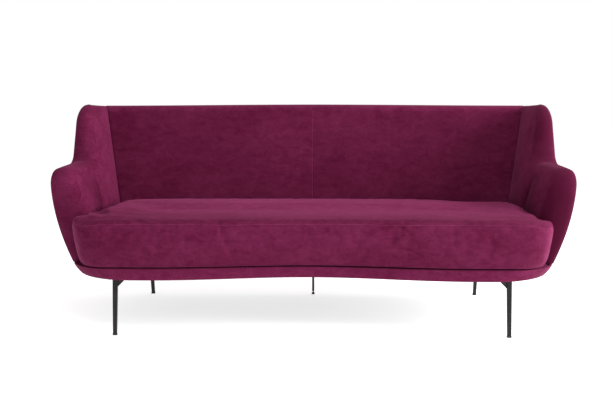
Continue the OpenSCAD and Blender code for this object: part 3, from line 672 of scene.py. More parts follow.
@dataclass(frozen=True)
class Coated:
    """Powder-coated or bare metal, or moulded plastic."""

    name: str
    colour: Colour
    worn: Colour
    metallic: float
    roughness: float
    texture: float = 1400.0
    wear: float = 0.5
    rubbed: Place = (0.16, 0.05)

    def make(self) -> Material:
        """Builds the material, with the fine texture of its coat."""
        sheet = Sheet(bpy.data.materials.new(self.name))
        coat = sheet.grain(scale=self.texture)
        rub_and_highlight = sheet.grain(scale=28.0, detail=5.0, rough=0.65)
        patch = sheet.levels(rub_and_highlight, (0.45, 0.0), (0.75, 1.0))
        duller, smoother = self.rubbed
        return sheet.finish({
            "Base Color": sheet.blend(self.colour, self.worn, patch * self.wear),
            "Metallic": self.metallic, "Roughness": self.roughness + rub_and_highlight * duller - smoother,
            "Normal": sheet.bump(coat, strength=0.25, distance=0.0003)})


class Finish(Enum):
    """The finishes of the sofa."""

    VELVET = Velvet("plum_velvet")
    SEAT_VELVET = Velvet("plum_velvet_seat", ground=(0.096, 0.005, 0.032),
                         raised_and_lit=(0.198, 0.024, 0.083), brushed=0.7)
    LINING = Woven("lining_cloth", dark=(0.012, 0.010, 0.012), light=(0.045, 0.040, 0.045))
    WEBBING = Woven("elastic_webbing", dark=(0.02, 0.02, 0.022), light=(0.11, 0.11, 0.12),
                    threads=30.0, depth=0.0007)
    TAPE = Woven("zip_tape", dark=(0.05, 0.004, 0.020), light=(0.12, 0.012, 0.05))
    NYLON = Coated("zip_nylon", (0.07, 0.008, 0.03), (0.10, 0.02, 0.05), 0.0, 0.35)
    TIMBER = Timber("beech")
    RIB_TIMBER = Timber("birch_ply", early=(0.68, 0.52, 0.33), late=(0.50, 0.34, 0.19),
                        along=(1.0, 1.0, 0.08))
    METAL = Coated("dark_coat", (0.009, 0.008, 0.009), (0.030, 0.026, 0.028), 0.45, 0.40)
    GLIDE = Coated("black_nylon", (0.010, 0.010, 0.010), (0.03, 0.03, 0.03), 0.0, 0.5)
    STEEL = Coated("zinc_steel", (0.50, 0.50, 0.52), (0.30, 0.29, 0.28), 1.0, 0.3)

    @cached_property
    def material(self) -> Material:
        """The material, built when it is first asked for."""
        return self.value.make()

    @property
    def slot(self) -> Slot:
        """The record's slot for this finish."""
        shared = {"SEAT_VELVET": Slot.VELVET, "NYLON": Slot.TAPE, "RIB_TIMBER": Slot.TIMBER}
        return shared.get(self.name) or Slot[self.name]


# Meshes


@dataclass(frozen=True)
class Spot:
    """A point of a cover, with how pale its velvet is, partly a painted highlight, and how dark its
    painted shade is.
    """

    place: Vector
    nap_and_highlight: float = 0.0
    shade: float = 0.0

    def flipped(self) -> "Spot":
        """The same point on the other side of the sofa."""
        return replace(self, place=Vector((-self.place.x, self.place.y, self.place.z)))


class Skin:
    """A closed mesh in the making."""

    def __init__(self) -> None:
        """Starts empty, with the values that the velvet reads."""
        self.mesh = bmesh.new()
        self.nap_and_highlight = self.mesh.verts.layers.float.new("nap_and_highlight")
        self.shade = self.mesh.verts.layers.float.new("shade")

    def vert(self, spot: Spot) -> bmesh.types.BMVert:
        """Adds one point."""
        vert = self.mesh.verts.new(spot.place)
        vert[self.nap_and_highlight], vert[self.shade] = spot.nap_and_highlight, spot.shade
        return vert

    def grid(self, rows: Sequence[Sequence[Spot]], looped: bool = False) -> None:
        """Adds a net of four-sided faces.

        Args:
            rows: rows of points, all of one length.
            looped: join the last point of each row to its first.
        """
        net = [[self.vert(spot) for spot in row] for row in rows]
        for low, high in zip(net, net[1:]):
            for i in range(len(low) if looped else len(low) - 1):
                j = (i + 1) % len(low)
                self.mesh.faces.new((low[i], low[j], high[j], high[i]))

    def slab(self, face: Sequence[Sequence[Spot]], rear: Sequence[Sequence[Spot]]) -> None:
        """Adds two nets of the same size and joins their edges all the way round."""
        self.grid(face)
        self.grid(rear)
        self.grid([face[0], rear[0]])
        self.grid([face[-1], rear[-1]])
        self.grid([[row[0] for row in face], [row[0] for row in rear]])
        self.grid([[row[-1] for row in face], [row[-1] for row in rear]])

    def cut_cloth(self, outline: Sequence[Place], holes: Sequence[Sequence[Place]],
                  pitch: float, low: Callable[[float, float], float], thick: float) -> None:
        """Adds a thin flat cloth with holes.

        Args:
            outline: its edge in plan.
            holes: the edges of what is cut out, which may reach over its edge.
            pitch: distance of the points inside it.
            low: height of its underside at a place.
            thick: its thickness.
        """
        def on_cloth(place: Sequence[float]) -> bool:
            """Whether a place lies on the cloth."""
            return within(place, outline) and not any(within(place, hole) for hole in holes)

        points, edges = [], []
        for loop in (outline, *holes):
            start, count = len(points), len(loop)
            points += [Vector(place) for place in loop]
            edges += [(start + i, start + (i + 1) % count) for i in range(count)]
        (x0, x1), (y0, y1) = [(min(line), max(line)) for line in zip(*outline)]
        inside = [(x0 + (i + 0.5) * pitch, y0 + (j + 0.5) * pitch)
                  for i in range(ceil((x1 - x0) / pitch))
                  for j in range(ceil((y1 - y0) / pitch))]
        points += [Vector(place) for place in inside if on_cloth(place)]
        flat, _, faces, _, _, _ = delaunay_2d_cdt(points, edges, [], 0, TOUCH)
        kept = [face for face in faces
                if on_cloth(sum((flat[i] for i in face), Vector((0, 0))) / len(face))]
        used = sorted({i for face in kept for i in face})
        below = {i: self.mesh.verts.new((*flat[i], low(*flat[i]))) for i in used}
        above = {i: self.mesh.verts.new((*flat[i], low(*flat[i]) + thick)) for i in used}
        sides: dict[tuple[int, int], None] = {}
        for face in kept:
            self.mesh.faces.new([below[i] for i in reversed(face)])
            self.mesh.faces.new([above[i] for i in face])
            sides.update(dict.fromkeys(zip(face, (*face[1:], face[0]))))
        for a, b in sides:
            if (b, a) not in sides:
                self.mesh.faces.new((below[a], below[b], above[b], above[a]))

    def prism(self, ring: Sequence[Vector], way: Vector) -> None:
        """Adds a closed solid from a ring of points, swept along a way."""
        near = [self.mesh.verts.new(place) for place in ring]
        far = [self.mesh.verts.new(place + way) for place in ring]
        self.mesh.faces.new(near[::-1])
        self.mesh.faces.new(far)
        for i, start in enumerate(near):
            j = (i + 1) % len(near)
            self.mesh.faces.new((start, near[j], far[j], far[i]))

    def mirror(self) -> None:
        """Turns the mesh into its mirror image."""
        for vert in self.mesh.verts:
            vert.co.x = -vert.co.x
        bmesh.ops.reverse_faces(self.mesh, faces=self.mesh.faces)

    def close(self) -> None:
        """Welds the nets together and closes what is open."""
        bmesh.ops.remove_doubles(self.mesh, verts=self.mesh.verts, dist=WELD)
        edges = [edge for edge in self.mesh.edges if edge.is_boundary]
        if edges:
            made = bmesh.ops.holes_fill(self.mesh, edges=edges, sides=0)
            bmesh.ops.triangulate(self.mesh, faces=made["faces"])
        bmesh.ops.dissolve_degenerate(self.mesh, edges=self.mesh.edges, dist=SLIVER)
        bmesh.ops.recalc_face_normals(self.mesh, faces=self.mesh.faces)

    def piece(self, name: str, material: Material, sharp: float = 55.0) -> Object:
        """Ends the mesh as an object.

        Args:
            name: the piece's name.
            material: its material.
            sharp: the angle in degrees from which an edge is drawn sharp.

        Returns:
            The new object, in the scene.
        """
        data = bpy.data.meshes.new(name)
        self.mesh.to_mesh(data)
        self.mesh.free()
        data.materials.append(material)
        data.shade_smooth()
        data.set_sharp_from_angle(angle=radians(sharp))
        return link(name, data)

    def cover(self, name: str, finish: Finish, nodes: Sequence[str] = (), body: Body = Body.FRAME,
              fill: float | None = None, side: Side = Side.RIGHT, sharp: float = 55.0) -> None:
        """Closes the mesh and ends it as a piece of the sofa.

        Args:
            name: the piece's name.
            finish: its finish.
            nodes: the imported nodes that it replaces.
            body: the body that it moves with.
            fill: for a padded piece, how full it is.
            side: the side that it belongs on; the mesh is built for the right one.
            sharp: the angle in degrees from which an edge is drawn sharp.
        """
        if side is Side.LEFT:
            self.mirror()
        self.close()
        place_piece(self.piece(name, finish.material, sharp), finish, nodes, body, fill)


def link(name: str, data: ID) -> Object:
    """Puts a mesh, a light or a camera into the scene, as an object."""
    made = bpy.data.objects.new(name, data)
    bpy.context.scene.collection.objects.link(made)
    return made


def within(place: Sequence[float], loop: Sequence[Sequence[float]]) -> bool:
    """Whether a place lies inside a closed line in plan."""
    x, y = place[0], place[1]
    inside = False
    for (ax, ay), (bx, by) in zip(loop, (*loop[1:], loop[0])):
        if (ay > y) != (by > y) and x < ax + (y - ay) * (bx - ax) / (by - ay):
            inside = not inside
    return inside


def place_piece(piece: Object, finish: Finish, nodes: Sequence[str], body: Body,
                fill: float | None = None) -> None:
    """Says what a piece rides on and what it stands for.

    Args:
        piece: the piece, in place.
        finish: its finish; not used.
        nodes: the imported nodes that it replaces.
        body: the body that it moves with.
        fill: for a padded piece, how full it is; not used.
    """
    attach(piece, body.value)
    if nodes:
        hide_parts(*nodes)
    LOG.info("%s: %d faces, rides on %s, stands for %s", piece.name, len(piece.data.polygons),
             body.value, list(nodes))


@dataclass(frozen=True)
class Seam:
    """How a cover turns in at a seam: how wide and deep, and how pale the line beside it is."""

    width: float
    depth: float
    nap_and_highlight: float = 0.0
    nap_and_highlight_width: float = 0.012
    soft: bool = False

    def turn(self, distance: float) -> float:
        """Depth of the cover at a distance from the seam."""
        if self.soft:
            return self.depth * clamp(1 - distance / self.width) ** 2
        return round_in(distance, self.width, self.depth)

    def pale(self, distance: float) -> float:
        """How pale the velvet is at a distance from the seam, partly a painted highlight."""
        return self.nap_and_highlight * bell(distance, self.nap_and_highlight_width)


def wander(point: Vector, scale: float, height: float) -> float:
    """A slow, soft unevenness of a stuffed cover, the same on each run."""
    return height * noise.noise(point * scale)


@dataclass(frozen=True)
class Fold:
    """The soft slanting fold between arm and wing, deep at the seat with painted shade in it, faint
    at the top.
    """

    shell: Shell
    seam: Seam = Seam(width=0.042, depth=0.013, soft=True)
    foot_shift: float = 0.036
    top_shift: float = -0.034
    top_share: float = 0.04
    below_seat: float = 0.01
    fade: float = 0.20
    fade_power: float = 1.2
    dark: float = 0.95
    arm_width: float = 0.080
    wing_width: float = 0.013
    swell: float = 0.0075
    swell_reach: float = 0.080
    swell_edge: float = 0.085
    swell_low: float = 0.03
    swell_rise: float = 0.06

    def offset(self, s: float, z: float) -> float:
        """How far a place lies behind the fold; less than 0 is on the arm."""
        h = self.shell
        share = clamp((z - h.seat_line) / (h.seam_top - h.seat_line))
        return s - h.seam_y - mix(self.foot_shift, self.top_shift, share)

    def away(self, s: float, z: float) -> float:
        """Distance of a place from the fold."""
        return abs(self.offset(s, z))

    def turn(self, s: float, z: float) -> float:
        """Depth of the cover at a place."""
        low = self.shell.seat_line - self.below_seat
        share = ease((z - low) / (self.shell.seam_top - low))
        return self.seam.turn(self.away(s, z)) * mix(1.0, self.top_share, share)

    def lift(self, s: float, z: float, edge: float) -> float:
        """How far the padding swells at a place, with its distance from the free edge."""
        above = (z - self.shell.seat_line + self.swell_low) / self.swell_rise
        return (self.swell * ease(edge / self.swell_edge) * ease(above)
                * round_out(clamp(self.away(s, z) / self.swell_reach)))

    def shade(self, s: float, z: float) -> float:
        """How dark the painted shade in the fold is at a place, reaching farther on the arm than on
        the wing.
        """
        offset = self.offset(s, z)
        near = bell(offset, self.wing_width if offset > 0 else self.arm_width)
        low = 1 - ease((z - self.shell.seat_line) / self.fade)
        return self.dark * near * low ** self.fade_power


@dataclass(frozen=True)
class Pile:
    """Painted light and shade of one side: painted shade on the padded edge and down by the seat,
    painted lighter inside.
    """

    edge: float
    low: float
    inside: float


# Painted light and shade by side, as if lit from the right: the right side painted darker, the left
# inside painted lighter
SIDE_SHADING = {Side.LEFT: Pile(edge=0.20, low=0.06, inside=0.12),
         Side.RIGHT: Pile(edge=0.80, low=0.26, inside=0.0)}


@dataclass(frozen=True)
class SideCover:
    """What the covers of arm and wing share: the fold between them, the edge and the painted light
    and shade of their side.
    """

    shell: Shell
    side: Side
    outer_seam: Seam = Seam(width=0.006, depth=0.0025)
    # A highlight painted across the padded edge
    rub_and_highlight: float = 0.14
    outside_shade: float = 0.12
    low_reach: float = 0.14
    ring_points: int = 22
    fill: float = 0.95

    @cached_property
    def fold(self) -> Fold:
        """The fold between arm and wing."""
        return Fold(self.shell)

    @property
    def pile(self) -> Pile:
        """The painted light and shade of this side."""
        return SIDE_SHADING[self.side]

    def low_shade(self, z: float) -> float:
        """Painted shade, darker down toward the seat."""
        return self.pile.low * (1 - ease((z - self.shell.seat_line) / self.low_reach))

    def inner(self, s: float, z: float, depth: float, pale: float) -> Spot:
        """A point of the inner face, at a depth behind it."""
        # The side's painted lighter tone inside, and painted shade toward the seat and in the fold
        return Spot(self.shell.from_inner(s, z, depth), pale + self.pile.inside,
                    clamp(self.low_shade(z) + self.fold.shade(s, z)))

    def outer(self, s: float, z: float, depth: float) -> Spot:
        """A point of the outer face, at a depth inside it."""
        return Spot(self.shell.from_outer(s, z, depth), 0.0, self.outside_shade)

    def rim(self, at: Place, way: Place, full: float, depths: Place, pale: float) -> list[Spot]:
        """The padded edge at one place of the frame's edge, between the inner and the outer face.

        Args:
            at: the place, as station and height.
            way: its outward way, in station and height.
            full: the reach of the padded edge.
            depths: how deep the cover lies at its inner and at its outer side.
            pale: how pale the velvet is beside a seam, partly a painted highlight.

        Returns:
            The points, in order.
        """
        (s, z), (turn, far), made = at, depths, []
        for i in range(1, self.ring_points):
            a = pi * i / self.ring_points
            reach = (full - turn) * self.shell.section(a)
            at_s, at_z = s + way[0] * reach, z + way[1] * reach
            end = self.shell.span(at_s, at_z) - mix(far, turn, sin(a))
            place = self.shell.from_inner(at_s, at_z, mix(turn, end, (1 - cos(a)) / 2))
            # Painted highlight across the padded edge's crown; the side's painted shade on the edge
            # and toward the seat
            made.append(Spot(place, self.rub_and_highlight * sin(a) ** 2 + pale,
                             clamp(self.low_shade(at_z) + self.pile.edge * sin(a))))
        return made

    def end(self, skin: Skin, kind: str, parts: Sequence[str]) -> None:
        """Ends the mesh as a padded cover that stands for some parts of its side."""
        word = self.side.word
        skin.cover(f"{word}_{kind}_cover", Finish.VELVET,
                   [f"{word}_{part}" for part in parts], fill=self.fill, side=self.side)


@dataclass(frozen=True)
class ArmCover(SideCover):
    """The padded cover of one arm: inside, round the front and the top, and outside to the seam."""

    rise_rows: int = 34
    arc_columns: int = 8
    columns: int = 9
    front_fade: float = 0.07

    def edge(self) -> list[Rim]:
        """The upper edge of the arm frame, from the front over the corner to the seam."""
        h, r = self.shell, self.shell.arm_corner_r
        start = h.arm_front_y + r
        made = corner_arc(start, h.arm_line(start) - r, r, self.arc_columns)
        for s in closer(start, h.seam_y, self.columns, FOLD_PLACES)[1:]:
            a = asin(clamp((s - h.hollow_centre[0]) / h.hollow_r))
            made.append((s, self.line(s), -sin(a), cos(a)))
        return made

    def line(self, s: float) -> float:
        """Height of the frame's edge, with the first turn of the hollow."""
        h = self.shell
        start = h.hollow_centre[0]
        if s <= start:
            return h.arm_line(s)
        return h.hollow_centre[1] - sqrt(max(0.0, h.hollow_r ** 2 - (s - start) ** 2))

    def inside(self, s: float, z: float, top: float) -> Spot:
        """A point of the inner face, under the frame's edge at a height top."""
        front = ease((s - self.shell.arm_front_y) / self.front_fade)
        return self.inner(s, z, self.fold.turn(s, z) - self.fold.lift(s, z, top - z) * front, 0.0)

    def outside(self, s: float, z: float) -> Spot:
        """A point of the outer face."""
        return self.outer(s, z, self.outer_seam.turn(self.shell.seam_y - s))

    def ring(self, s: float, z: float, way: Place) -> list[Spot]:
        """The padded edge at one place of the frame's edge, from the inner to the outer face."""
        depths = self.fold.turn(s, z), self.outer_seam.turn(self.shell.seam_y - s)
        rim = self.rim((s, z), way, self.shell.arm_roll, depths, 0.0)
        return [self.inside(s, z, z), *rim, self.outside(s, z)]

    def build(self) -> None:
        """Builds the cover."""
        h, skin, edge = self.shell, Skin(), self.edge()
        grid = [[(s, mix(h.foot, top, v)) for v in steps(self.rise_rows)] for s, top, _, _ in edge]
        skin.grid([[self.inside(s, z, column[-1][1]) for s, z in column] for column in grid])
        skin.grid([[self.outside(s, z) for s, z in column] for column in grid])
        rings = [self.ring(s, z, (-1.0, 0.0)) for s, z in grid[0][:-1]]
        skin.grid(rings + [self.ring(s, z, (ds, dz)) for s, z, ds, dz in edge])
        self.end(skin, "arm", ("inside_arm", "outside_arm"))


@dataclass(frozen=True)
class WingCover(SideCover):
    """The padded cover of one wing, from the seam beside the arm to the rear corner."""

    corner: Seam = Seam(width=0.012, depth=0.0035, nap_and_highlight=0.05)
    low_reach: float = 0.20
    low_rows: int = 30
    hollow_rows: int = 12
    edge_rows: int = 11
    arc_rows: int = 8
    columns: int = 14
    row_length: float = 0.255
    corner_fade: float = 0.08

    @cached_property
    def level_s(self) -> float:
        """Station from which the upper edge runs on behind its front corner."""
        return self.shell.wing_edge_s + self.shell.wing_corner_r

    def edge(self) -> list[Rim]:
        """The front edge of the wing, from the foot up."""
        h, r = self.shell, self.shell.wing_corner_r
        low = [(h.seam_y, mix(h.foot, h.seam_top, u), -1.0, 0.0) for u in steps(self.low_rows)[:-1]]
        hollow = [h.hollow_point(mix(h.hollow_start, pi / 2, u))
                  for u in steps(self.hollow_rows)]
        top = h.wing_shoulder - r
        edge = [(h.wing_edge_s, mix(h.hollow_centre[1], top, u), -1.0, 0.0)
                for u in steps(self.edge_rows)[1:-1]]
        return low + hollow + edge + corner_arc(h.wing_edge_s + r, top, r, self.arc_rows)

    def columns_of(self, start: float) -> list[float]:
        """Stations of a row, from its start to the rear corner, closer together at both ends."""
        near = [d / self.row_length for d in FOLD_PLACES]
        return [mix(start, self.shell.corner_y, u)
                for u in closer(0.0, 1.0, self.columns, near, both=True)]

    def height(self, s: float, z: float) -> float:
        """Height of a row's point at a station; rows sink with the wing's top line."""
        low, line, level = self.shell.foot, self.shell.frame_line, self.level_s
        return low + (z - low) * ((line(max(s, level)) - low) / (line(level) - low))

    def edge_distance(self, s: float, z: float) -> float:
        """Distance from the free edge of the frame."""
        h = self.shell
        centre = h.hollow_centre
        top = h.frame_line(max(s, self.level_s)) - z
        if z < centre[1]:
            return min(top, hypot(s - centre[0], z - centre[1]) - h.hollow_r)
        return min(top, s - h.wing_edge_s)

    def inner_turn(self, s: float, z: float) -> float:
        """Depth of the cover inside, at the fold and at the corner seam."""
        return max(self.fold.turn(s, z), self.corner.turn(self.shell.corner_y - s))

    def outer_turn(self, s: float, z: float) -> float:
        """Depth of the cover outside, at the seams beside the arm and in the corner."""
        h = self.shell
        away = hypot(s - h.seam_y, max(0.0, z - h.seam_top))
        return max(self.outer_seam.turn(away), self.outer_seam.turn(h.corner_y - s))

    def inside(self, s: float, z: float) -> Spot:
        """A point of the inner face."""
        corner = self.shell.corner_y - s
        fade = round_out(clamp(corner / self.corner_fade))
        lift = self.fold.lift(s, z, self.edge_distance(s, z)) * fade
        return self.inner(s, z, self.inner_turn(s, z) - lift, self.corner.pale(corner))

    def outside(self, s: float, z: float) -> Spot:
        """A point of the outer face."""
        return self.outer(s, z, self.outer_turn(s, z))

    def ring(self, s: float, z: float, way: Place) -> list[Spot]:
        """The padded edge at one place of the frame's edge, from the inner to the outer face."""
        h = self.shell
        low, high = h.hollow_centre[1], h.wing_shoulder - h.wing_corner_r
        rise = mix(h.arm_roll, h.wing_roll, clamp((z - low) / (high - low)))
        full = rise if s < self.level_s else h.roll(s)
        depths = self.inner_turn(s, z), self.outer_turn(s, z)
        rim = self.rim((s, z), way, full, depths, self.corner.pale(h.corner_y - s))
        return [self.inside(s, z), *rim, self.outside(s, z)]

    def build(self) -> None:
        """Builds the cover."""
        skin, edge = Skin(), self.edge()
        grid = [[(s, self.height(s, z)) for s in self.columns_of(start)] for start, z, _, _ in edge]
        skin.grid([[self.inside(s, z) for s, z in row] for row in grid])
        skin.grid([[self.outside(s, z) for s, z in row] for row in grid])
        rings = [self.ring(s, z, (ds, dz)) for s, z, ds, dz in edge[self.low_rows:]]
        skin.grid(rings + [self.ring(s, z, (0.0, 1.0)) for s, z in grid[-1][1:]])
        self.end(skin, "wing", ("inside_wing", "outside_wing", "edge_roll"))


@dataclass(frozen=True)
class BackCovers:
    """The two halves of the inside back, the padded edge above them and the outside back."""

    shell: Shell
    swell: float = 0.010
    pad_low: float = 0.02
    pad_height: float = 0.56
    pad_thick: float = 0.022
    pad_fill: float = 0.9
    panel_thick: float = 0.008
    panel_fill: float = 0.8
    roll_fill: float = 1.0
    corner: Seam = Seam(width=0.012, depth=0.0035, nap_and_highlight=0.03)
    middle: Seam = Seam(width=0.005, depth=0.0026, nap_and_highlight=0.34, nap_and_highlight_width=0.0045)
    under_roll: Seam = Seam(width=0.005, depth=0.0014, nap_and_highlight=0.03, nap_and_highlight_width=0.006)
    outer_seam: Seam = Seam(width=0.006, depth=0.0025)
    seam_places: tuple[float, ...] = (0.020, 0.014, 0.010, 0.0075, 0.005, 0.0035, 0.002, 0.001)
    roll_places: tuple[float, ...] = (0.014, 0.009, 0.006, 0.0035, 0.0015)
    columns: int = 56
    rows: int = 46
    ring_points: int = 20
    waves: Place = (4.5, 0.0022)
    wave_fade: float = 0.05
    # Painted shade: the inside back painted darker all over, and darker still toward the seat
    shade: float = 0.37
    low_shade: float = 0.03
    low_reach: float = 0.30
    mottle: Place = (2.2, 0.12)
    # A highlight painted across the padded edge
    rub_and_highlight: float = 0.10
    outside_shade: float = 0.12
    # Painted shade on the closed underside of the padded edge
    under_shade: float = 0.3
    web_width: float = 0.050
    web_pitch: float = 0.095
    web_room: float = 0.020
    web_depth: float = 0.0246
    web_thick: float = 0.0014
    web_hollow: float = 0.0005
    web_columns: int = 4

    def stations(self) -> list[float]:
        """Stations from the corner to the middle, closer together at both."""
        h = self.shell
        return closer(h.corner_y, h.end_s, self.columns, self.seam_places, both=True)

    def heights(self, s: float) -> list[float]:
        """Heights at a station, from the foot to the seam under the padded edge."""
        low, near = self.shell.foot, [d / self.pad_height for d in self.roll_places]
        share = self.shell.frame_line(s) - low
        return [low + share * u for u in closer(0.0, 1.0, self.rows, near)]

    def front(self, s: float, z: float) -> Spot:
        """A point of the inner face of a half."""
        h, top = self.shell, self.shell.frame_line(s)
        corner, middle, under = s - h.corner_y, h.end_s - s, top - z
        across = dome((s - h.corner_y) / h.corner_inner_x)
        lift = self.swell * across * dome(
            (z - h.seat_line + self.pad_low) / (top - h.seat_line + self.pad_low))
        turn = max(self.corner.turn(corner), self.middle.turn(middle), self.under_roll.turn(under))
        place = h.from_inner(s, z, turn - lift)
        soft = wander(place, *self.waves) * clamp(min(corner, middle, under) / self.wave_fade)
        # Pale lines beside the seams, partly painted highlight; painted shade over the back, darker
        # toward the seat, with random darker mottle
        pale = self.corner.pale(corner) + self.middle.pale(middle) + self.under_roll.pale(under)
        low = self.low_shade * (1 - ease((z - h.seat_line) / self.low_reach))
        return Spot(place + Vector((0, soft, 0)), pale,
                    clamp(self.shade + low + wander(place, *self.mottle)))

    def build_half(self, side: Side) -> None:
        """Builds the inside back of one side."""
        h, skin = self.shell, Skin()
        net = [[(s, z) for z in self.heights(s)] for s in self.stations()]
        skin.slab([[self.front(s, z) for s, z in column] for column in net],
                  [[Spot(h.from_inner(s, z, self.pad_thick)) for s, z in column] for column in net])
        skin.cover(f"{side.word}_back_pad", Finish.VELVET, [f"{side.word}_inside_back"],
                   fill=self.pad_fill, side=side)

    def ring(self, s: float) -> list[Spot]:
        """The padded edge of the back at one station, closed underneath."""
        h = self.shell
        line, corner = h.frame_line(s), s - h.corner_y
        turn = self.corner.turn(corner)
        made = []
        for i in range(self.ring_points + 1):
            a = pi * i / self.ring_points
            reach = (h.back_roll - turn) * h.section(a)
            z = line + reach
            seam = max(turn, self.under_roll.turn(reach))
            depth = mix(seam, h.span(s, z) - seam, (1 - cos(a)) / 2)
            pale = self.under_roll.pale(reach) + self.corner.pale(corner)
            # Painted highlight across the padded edge's crown, with the pale seam lines
            made.append(Spot(h.from_inner(s, z, depth), self.rub_and_highlight * sin(a) ** 2 + pale,
                             self.outside_shade))
        return made + [Spot(h.through(s, line, 0.5), 0.0, self.under_shade)]

    def both_ways(self, make: Callable[[float], list[Spot]]) -> list[list[Spot]]:
        """Rows of points from the right corner over the middle to the left corner."""
        right = [make(s) for s in self.stations()]
        return right + [[spot.flipped() for spot in row] for row in reversed(right[:-1])]

    def build_roll(self) -> None:
        """Builds the padded edge of the back."""
        skin = Skin()
        skin.grid(self.both_ways(self.ring), looped=True)
        skin.cover("back_edge_cover", Finish.VELVET, ["back_edge_roll"], fill=self.roll_fill)

    def panel(self, s: float, depth: float) -> list[Spot]:
        """The outside back at one station, at a depth inside the outer face."""
        return [Spot(self.shell.from_outer(s, z, depth), 0.0, self.outside_shade)
                for z in self.heights(s)]

    def build_outside(self) -> None:
        """Builds the outside back, one panel from corner to corner."""
        skin, corner = Skin(), self.shell.corner_y
        skin.slab(self.both_ways(lambda s: self.panel(s, self.outer_seam.turn(s - corner))),
                  self.both_ways(lambda s: self.panel(s, self.panel_thick)))
        skin.cover("outside_back_cover", Finish.VELVET, ["outside_back"], fill=self.panel_fill)

    def band(self, s: float, low: float, depth: float) -> list[Spot]:
        """An elastic band at one station, at a depth behind the inner face."""
        return [Spot(self.shell.from_inner(s, low + self.web_width * u,
                                           depth + self.web_hollow * dome(u)))
                for u in steps(self.web_columns)]

    def build_webbing(self) -> None:
        """Builds the elastic bands that run across the ribs behind the padding."""
        h, skin = self.shell, Skin()
        low = h.seat_line
        while low <= h.back_height - h.back_roll - self.web_room - self.web_width:
            skin.slab(*[self.both_ways(partial(self.band, low=low, depth=depth))
                        for depth in (self.web_depth, self.web_depth + self.web_thick)])
            low += self.web_pitch
        skin.cover("back_web_bands", Finish.WEBBING, ["back_webbing"])


@dataclass(frozen=True)
class Plan:
    """Outlines in plan of base and cushion: hollow in front, round corners, bowed behind."""

    shell: Shell
    base_bottom: float = 0.210
    band_height: float = 0.040
    band_tuck: float = 0.012
    seat_overhang: float = 0.175
    low_hollow: float = 0.066
    top_hollow: float = 0.054
    hollow_end: float = 0.264
    band_corner_r: float = 0.247
    top_corner_r: float = 0.196
    counts: tuple[int, int, int, int] = (40, 18, 14, 40)
    side_count: int = 24

    @cached_property
    def base_top(self) -> float:
        """Height of the band's upper edge."""
        return self.base_bottom + self.band_height

    @cached_property
    def front_y(self) -> float:
        """Foremost line of the band."""
        return self.shell.arm_front_y - self.seat_overhang

    @cached_property
    def low_x(self) -> float:
        """Half width of the band at its lower edge."""
        return self.shell.flank_x - self.shell.flank_tuck - self.band_tuck

    def hollow(self, x: float, depth: float) -> float:
        """How far the front line lies back at x."""
        span = self.shell.arm_inner_x - self.hollow_end
        return depth * (1 + cos(pi * min(1.0, abs(x) / span))) / 2

    def bow(self, x: float, half: float) -> float:
        """How far the rear line lies back at x."""
        return self.shell.back_bow * (1 - min(1.0, abs(x) / half) ** 2)

    def rounded(self, half: float, ends: Place, radii: Place, counts: tuple[int, int, int, int],
                shares: Sequence[float], depth: float) -> list[Place]:
        """An outline with round corners, a hollow front line and a bowed rear line.

        Args:
            half: the half width.
            ends: y of the front and of the rear line.
            radii: of the front and of the rear corners.
            counts: steps of the front, the front corner, the rear corner and the rear.
            shares: places on the side between its corners, from 0 to 1.
            depth: how far the front line lies back in its middle.

        Returns:
            The points in plan; the side between the lines takes some of both bends.
        """
        (front, back), (front_r, back_r) = ends, radii
        line = [((half - front_r) * u, front) for u in steps(counts[0])[:-1]]
        line += [(half - front_r + front_r * sin(a), front + front_r - front_r * cos(a))
                 for a in quarter(counts[1])]
        line += [(half, mix(front + front_r, back - back_r, u)) for u in shares]
        line += [(half - back_r + back_r * cos(a), back - back_r + back_r * sin(a))
                 for a in quarter(counts[2])]
        line += [((half - back_r) * (1 - u), back) for u in steps(counts[3])[1:]]
        line += [(-x, y) for x, y in reversed(line[1:-1])]
        made = []
        for x, y in line:
            share = (y - front) / (back - front)
            made.append((x, y + mix(self.hollow(x, depth), self.bow(x, half - back_r), share)))
        return made

    def band(self, z: float, inset: float) -> list[Place]:
        """Outline of the base at a height, moved in by an inset."""
        h = self.shell
        u = (z - self.base_bottom) / self.band_height
        half = mix(self.low_x, h.flank(self.base_top), u) - inset
        ends = self.front_y + inset, h.rear(z) - h.back_bow - inset
        radii = mix(self.band_corner_r, self.top_corner_r, u) - inset, h.corner_r(z) - inset
        return self.rounded(half, ends, radii, self.counts, steps(self.side_count)[1:-1],
                            mix(self.low_hollow, self.top_hollow, u))

    def crossing(self, x: float, z: float, inset: float) -> Place:
        """The outline's front and rear y at x.

        Args:
            x: the place across.
            z: the height of the outline.
            inset: how far it is moved in.

        Returns:
            The foremost and the rearmost y.
        """
        line, found = self.band(z, inset), []
        for (ax, ay), (bx, by) in zip(line, (*line[1:], line[0])):
            if (ax > x) != (bx > x):
                found.append(ay + (x - ax) * (by - ay) / (bx - ax))
        return min(found), max(found)


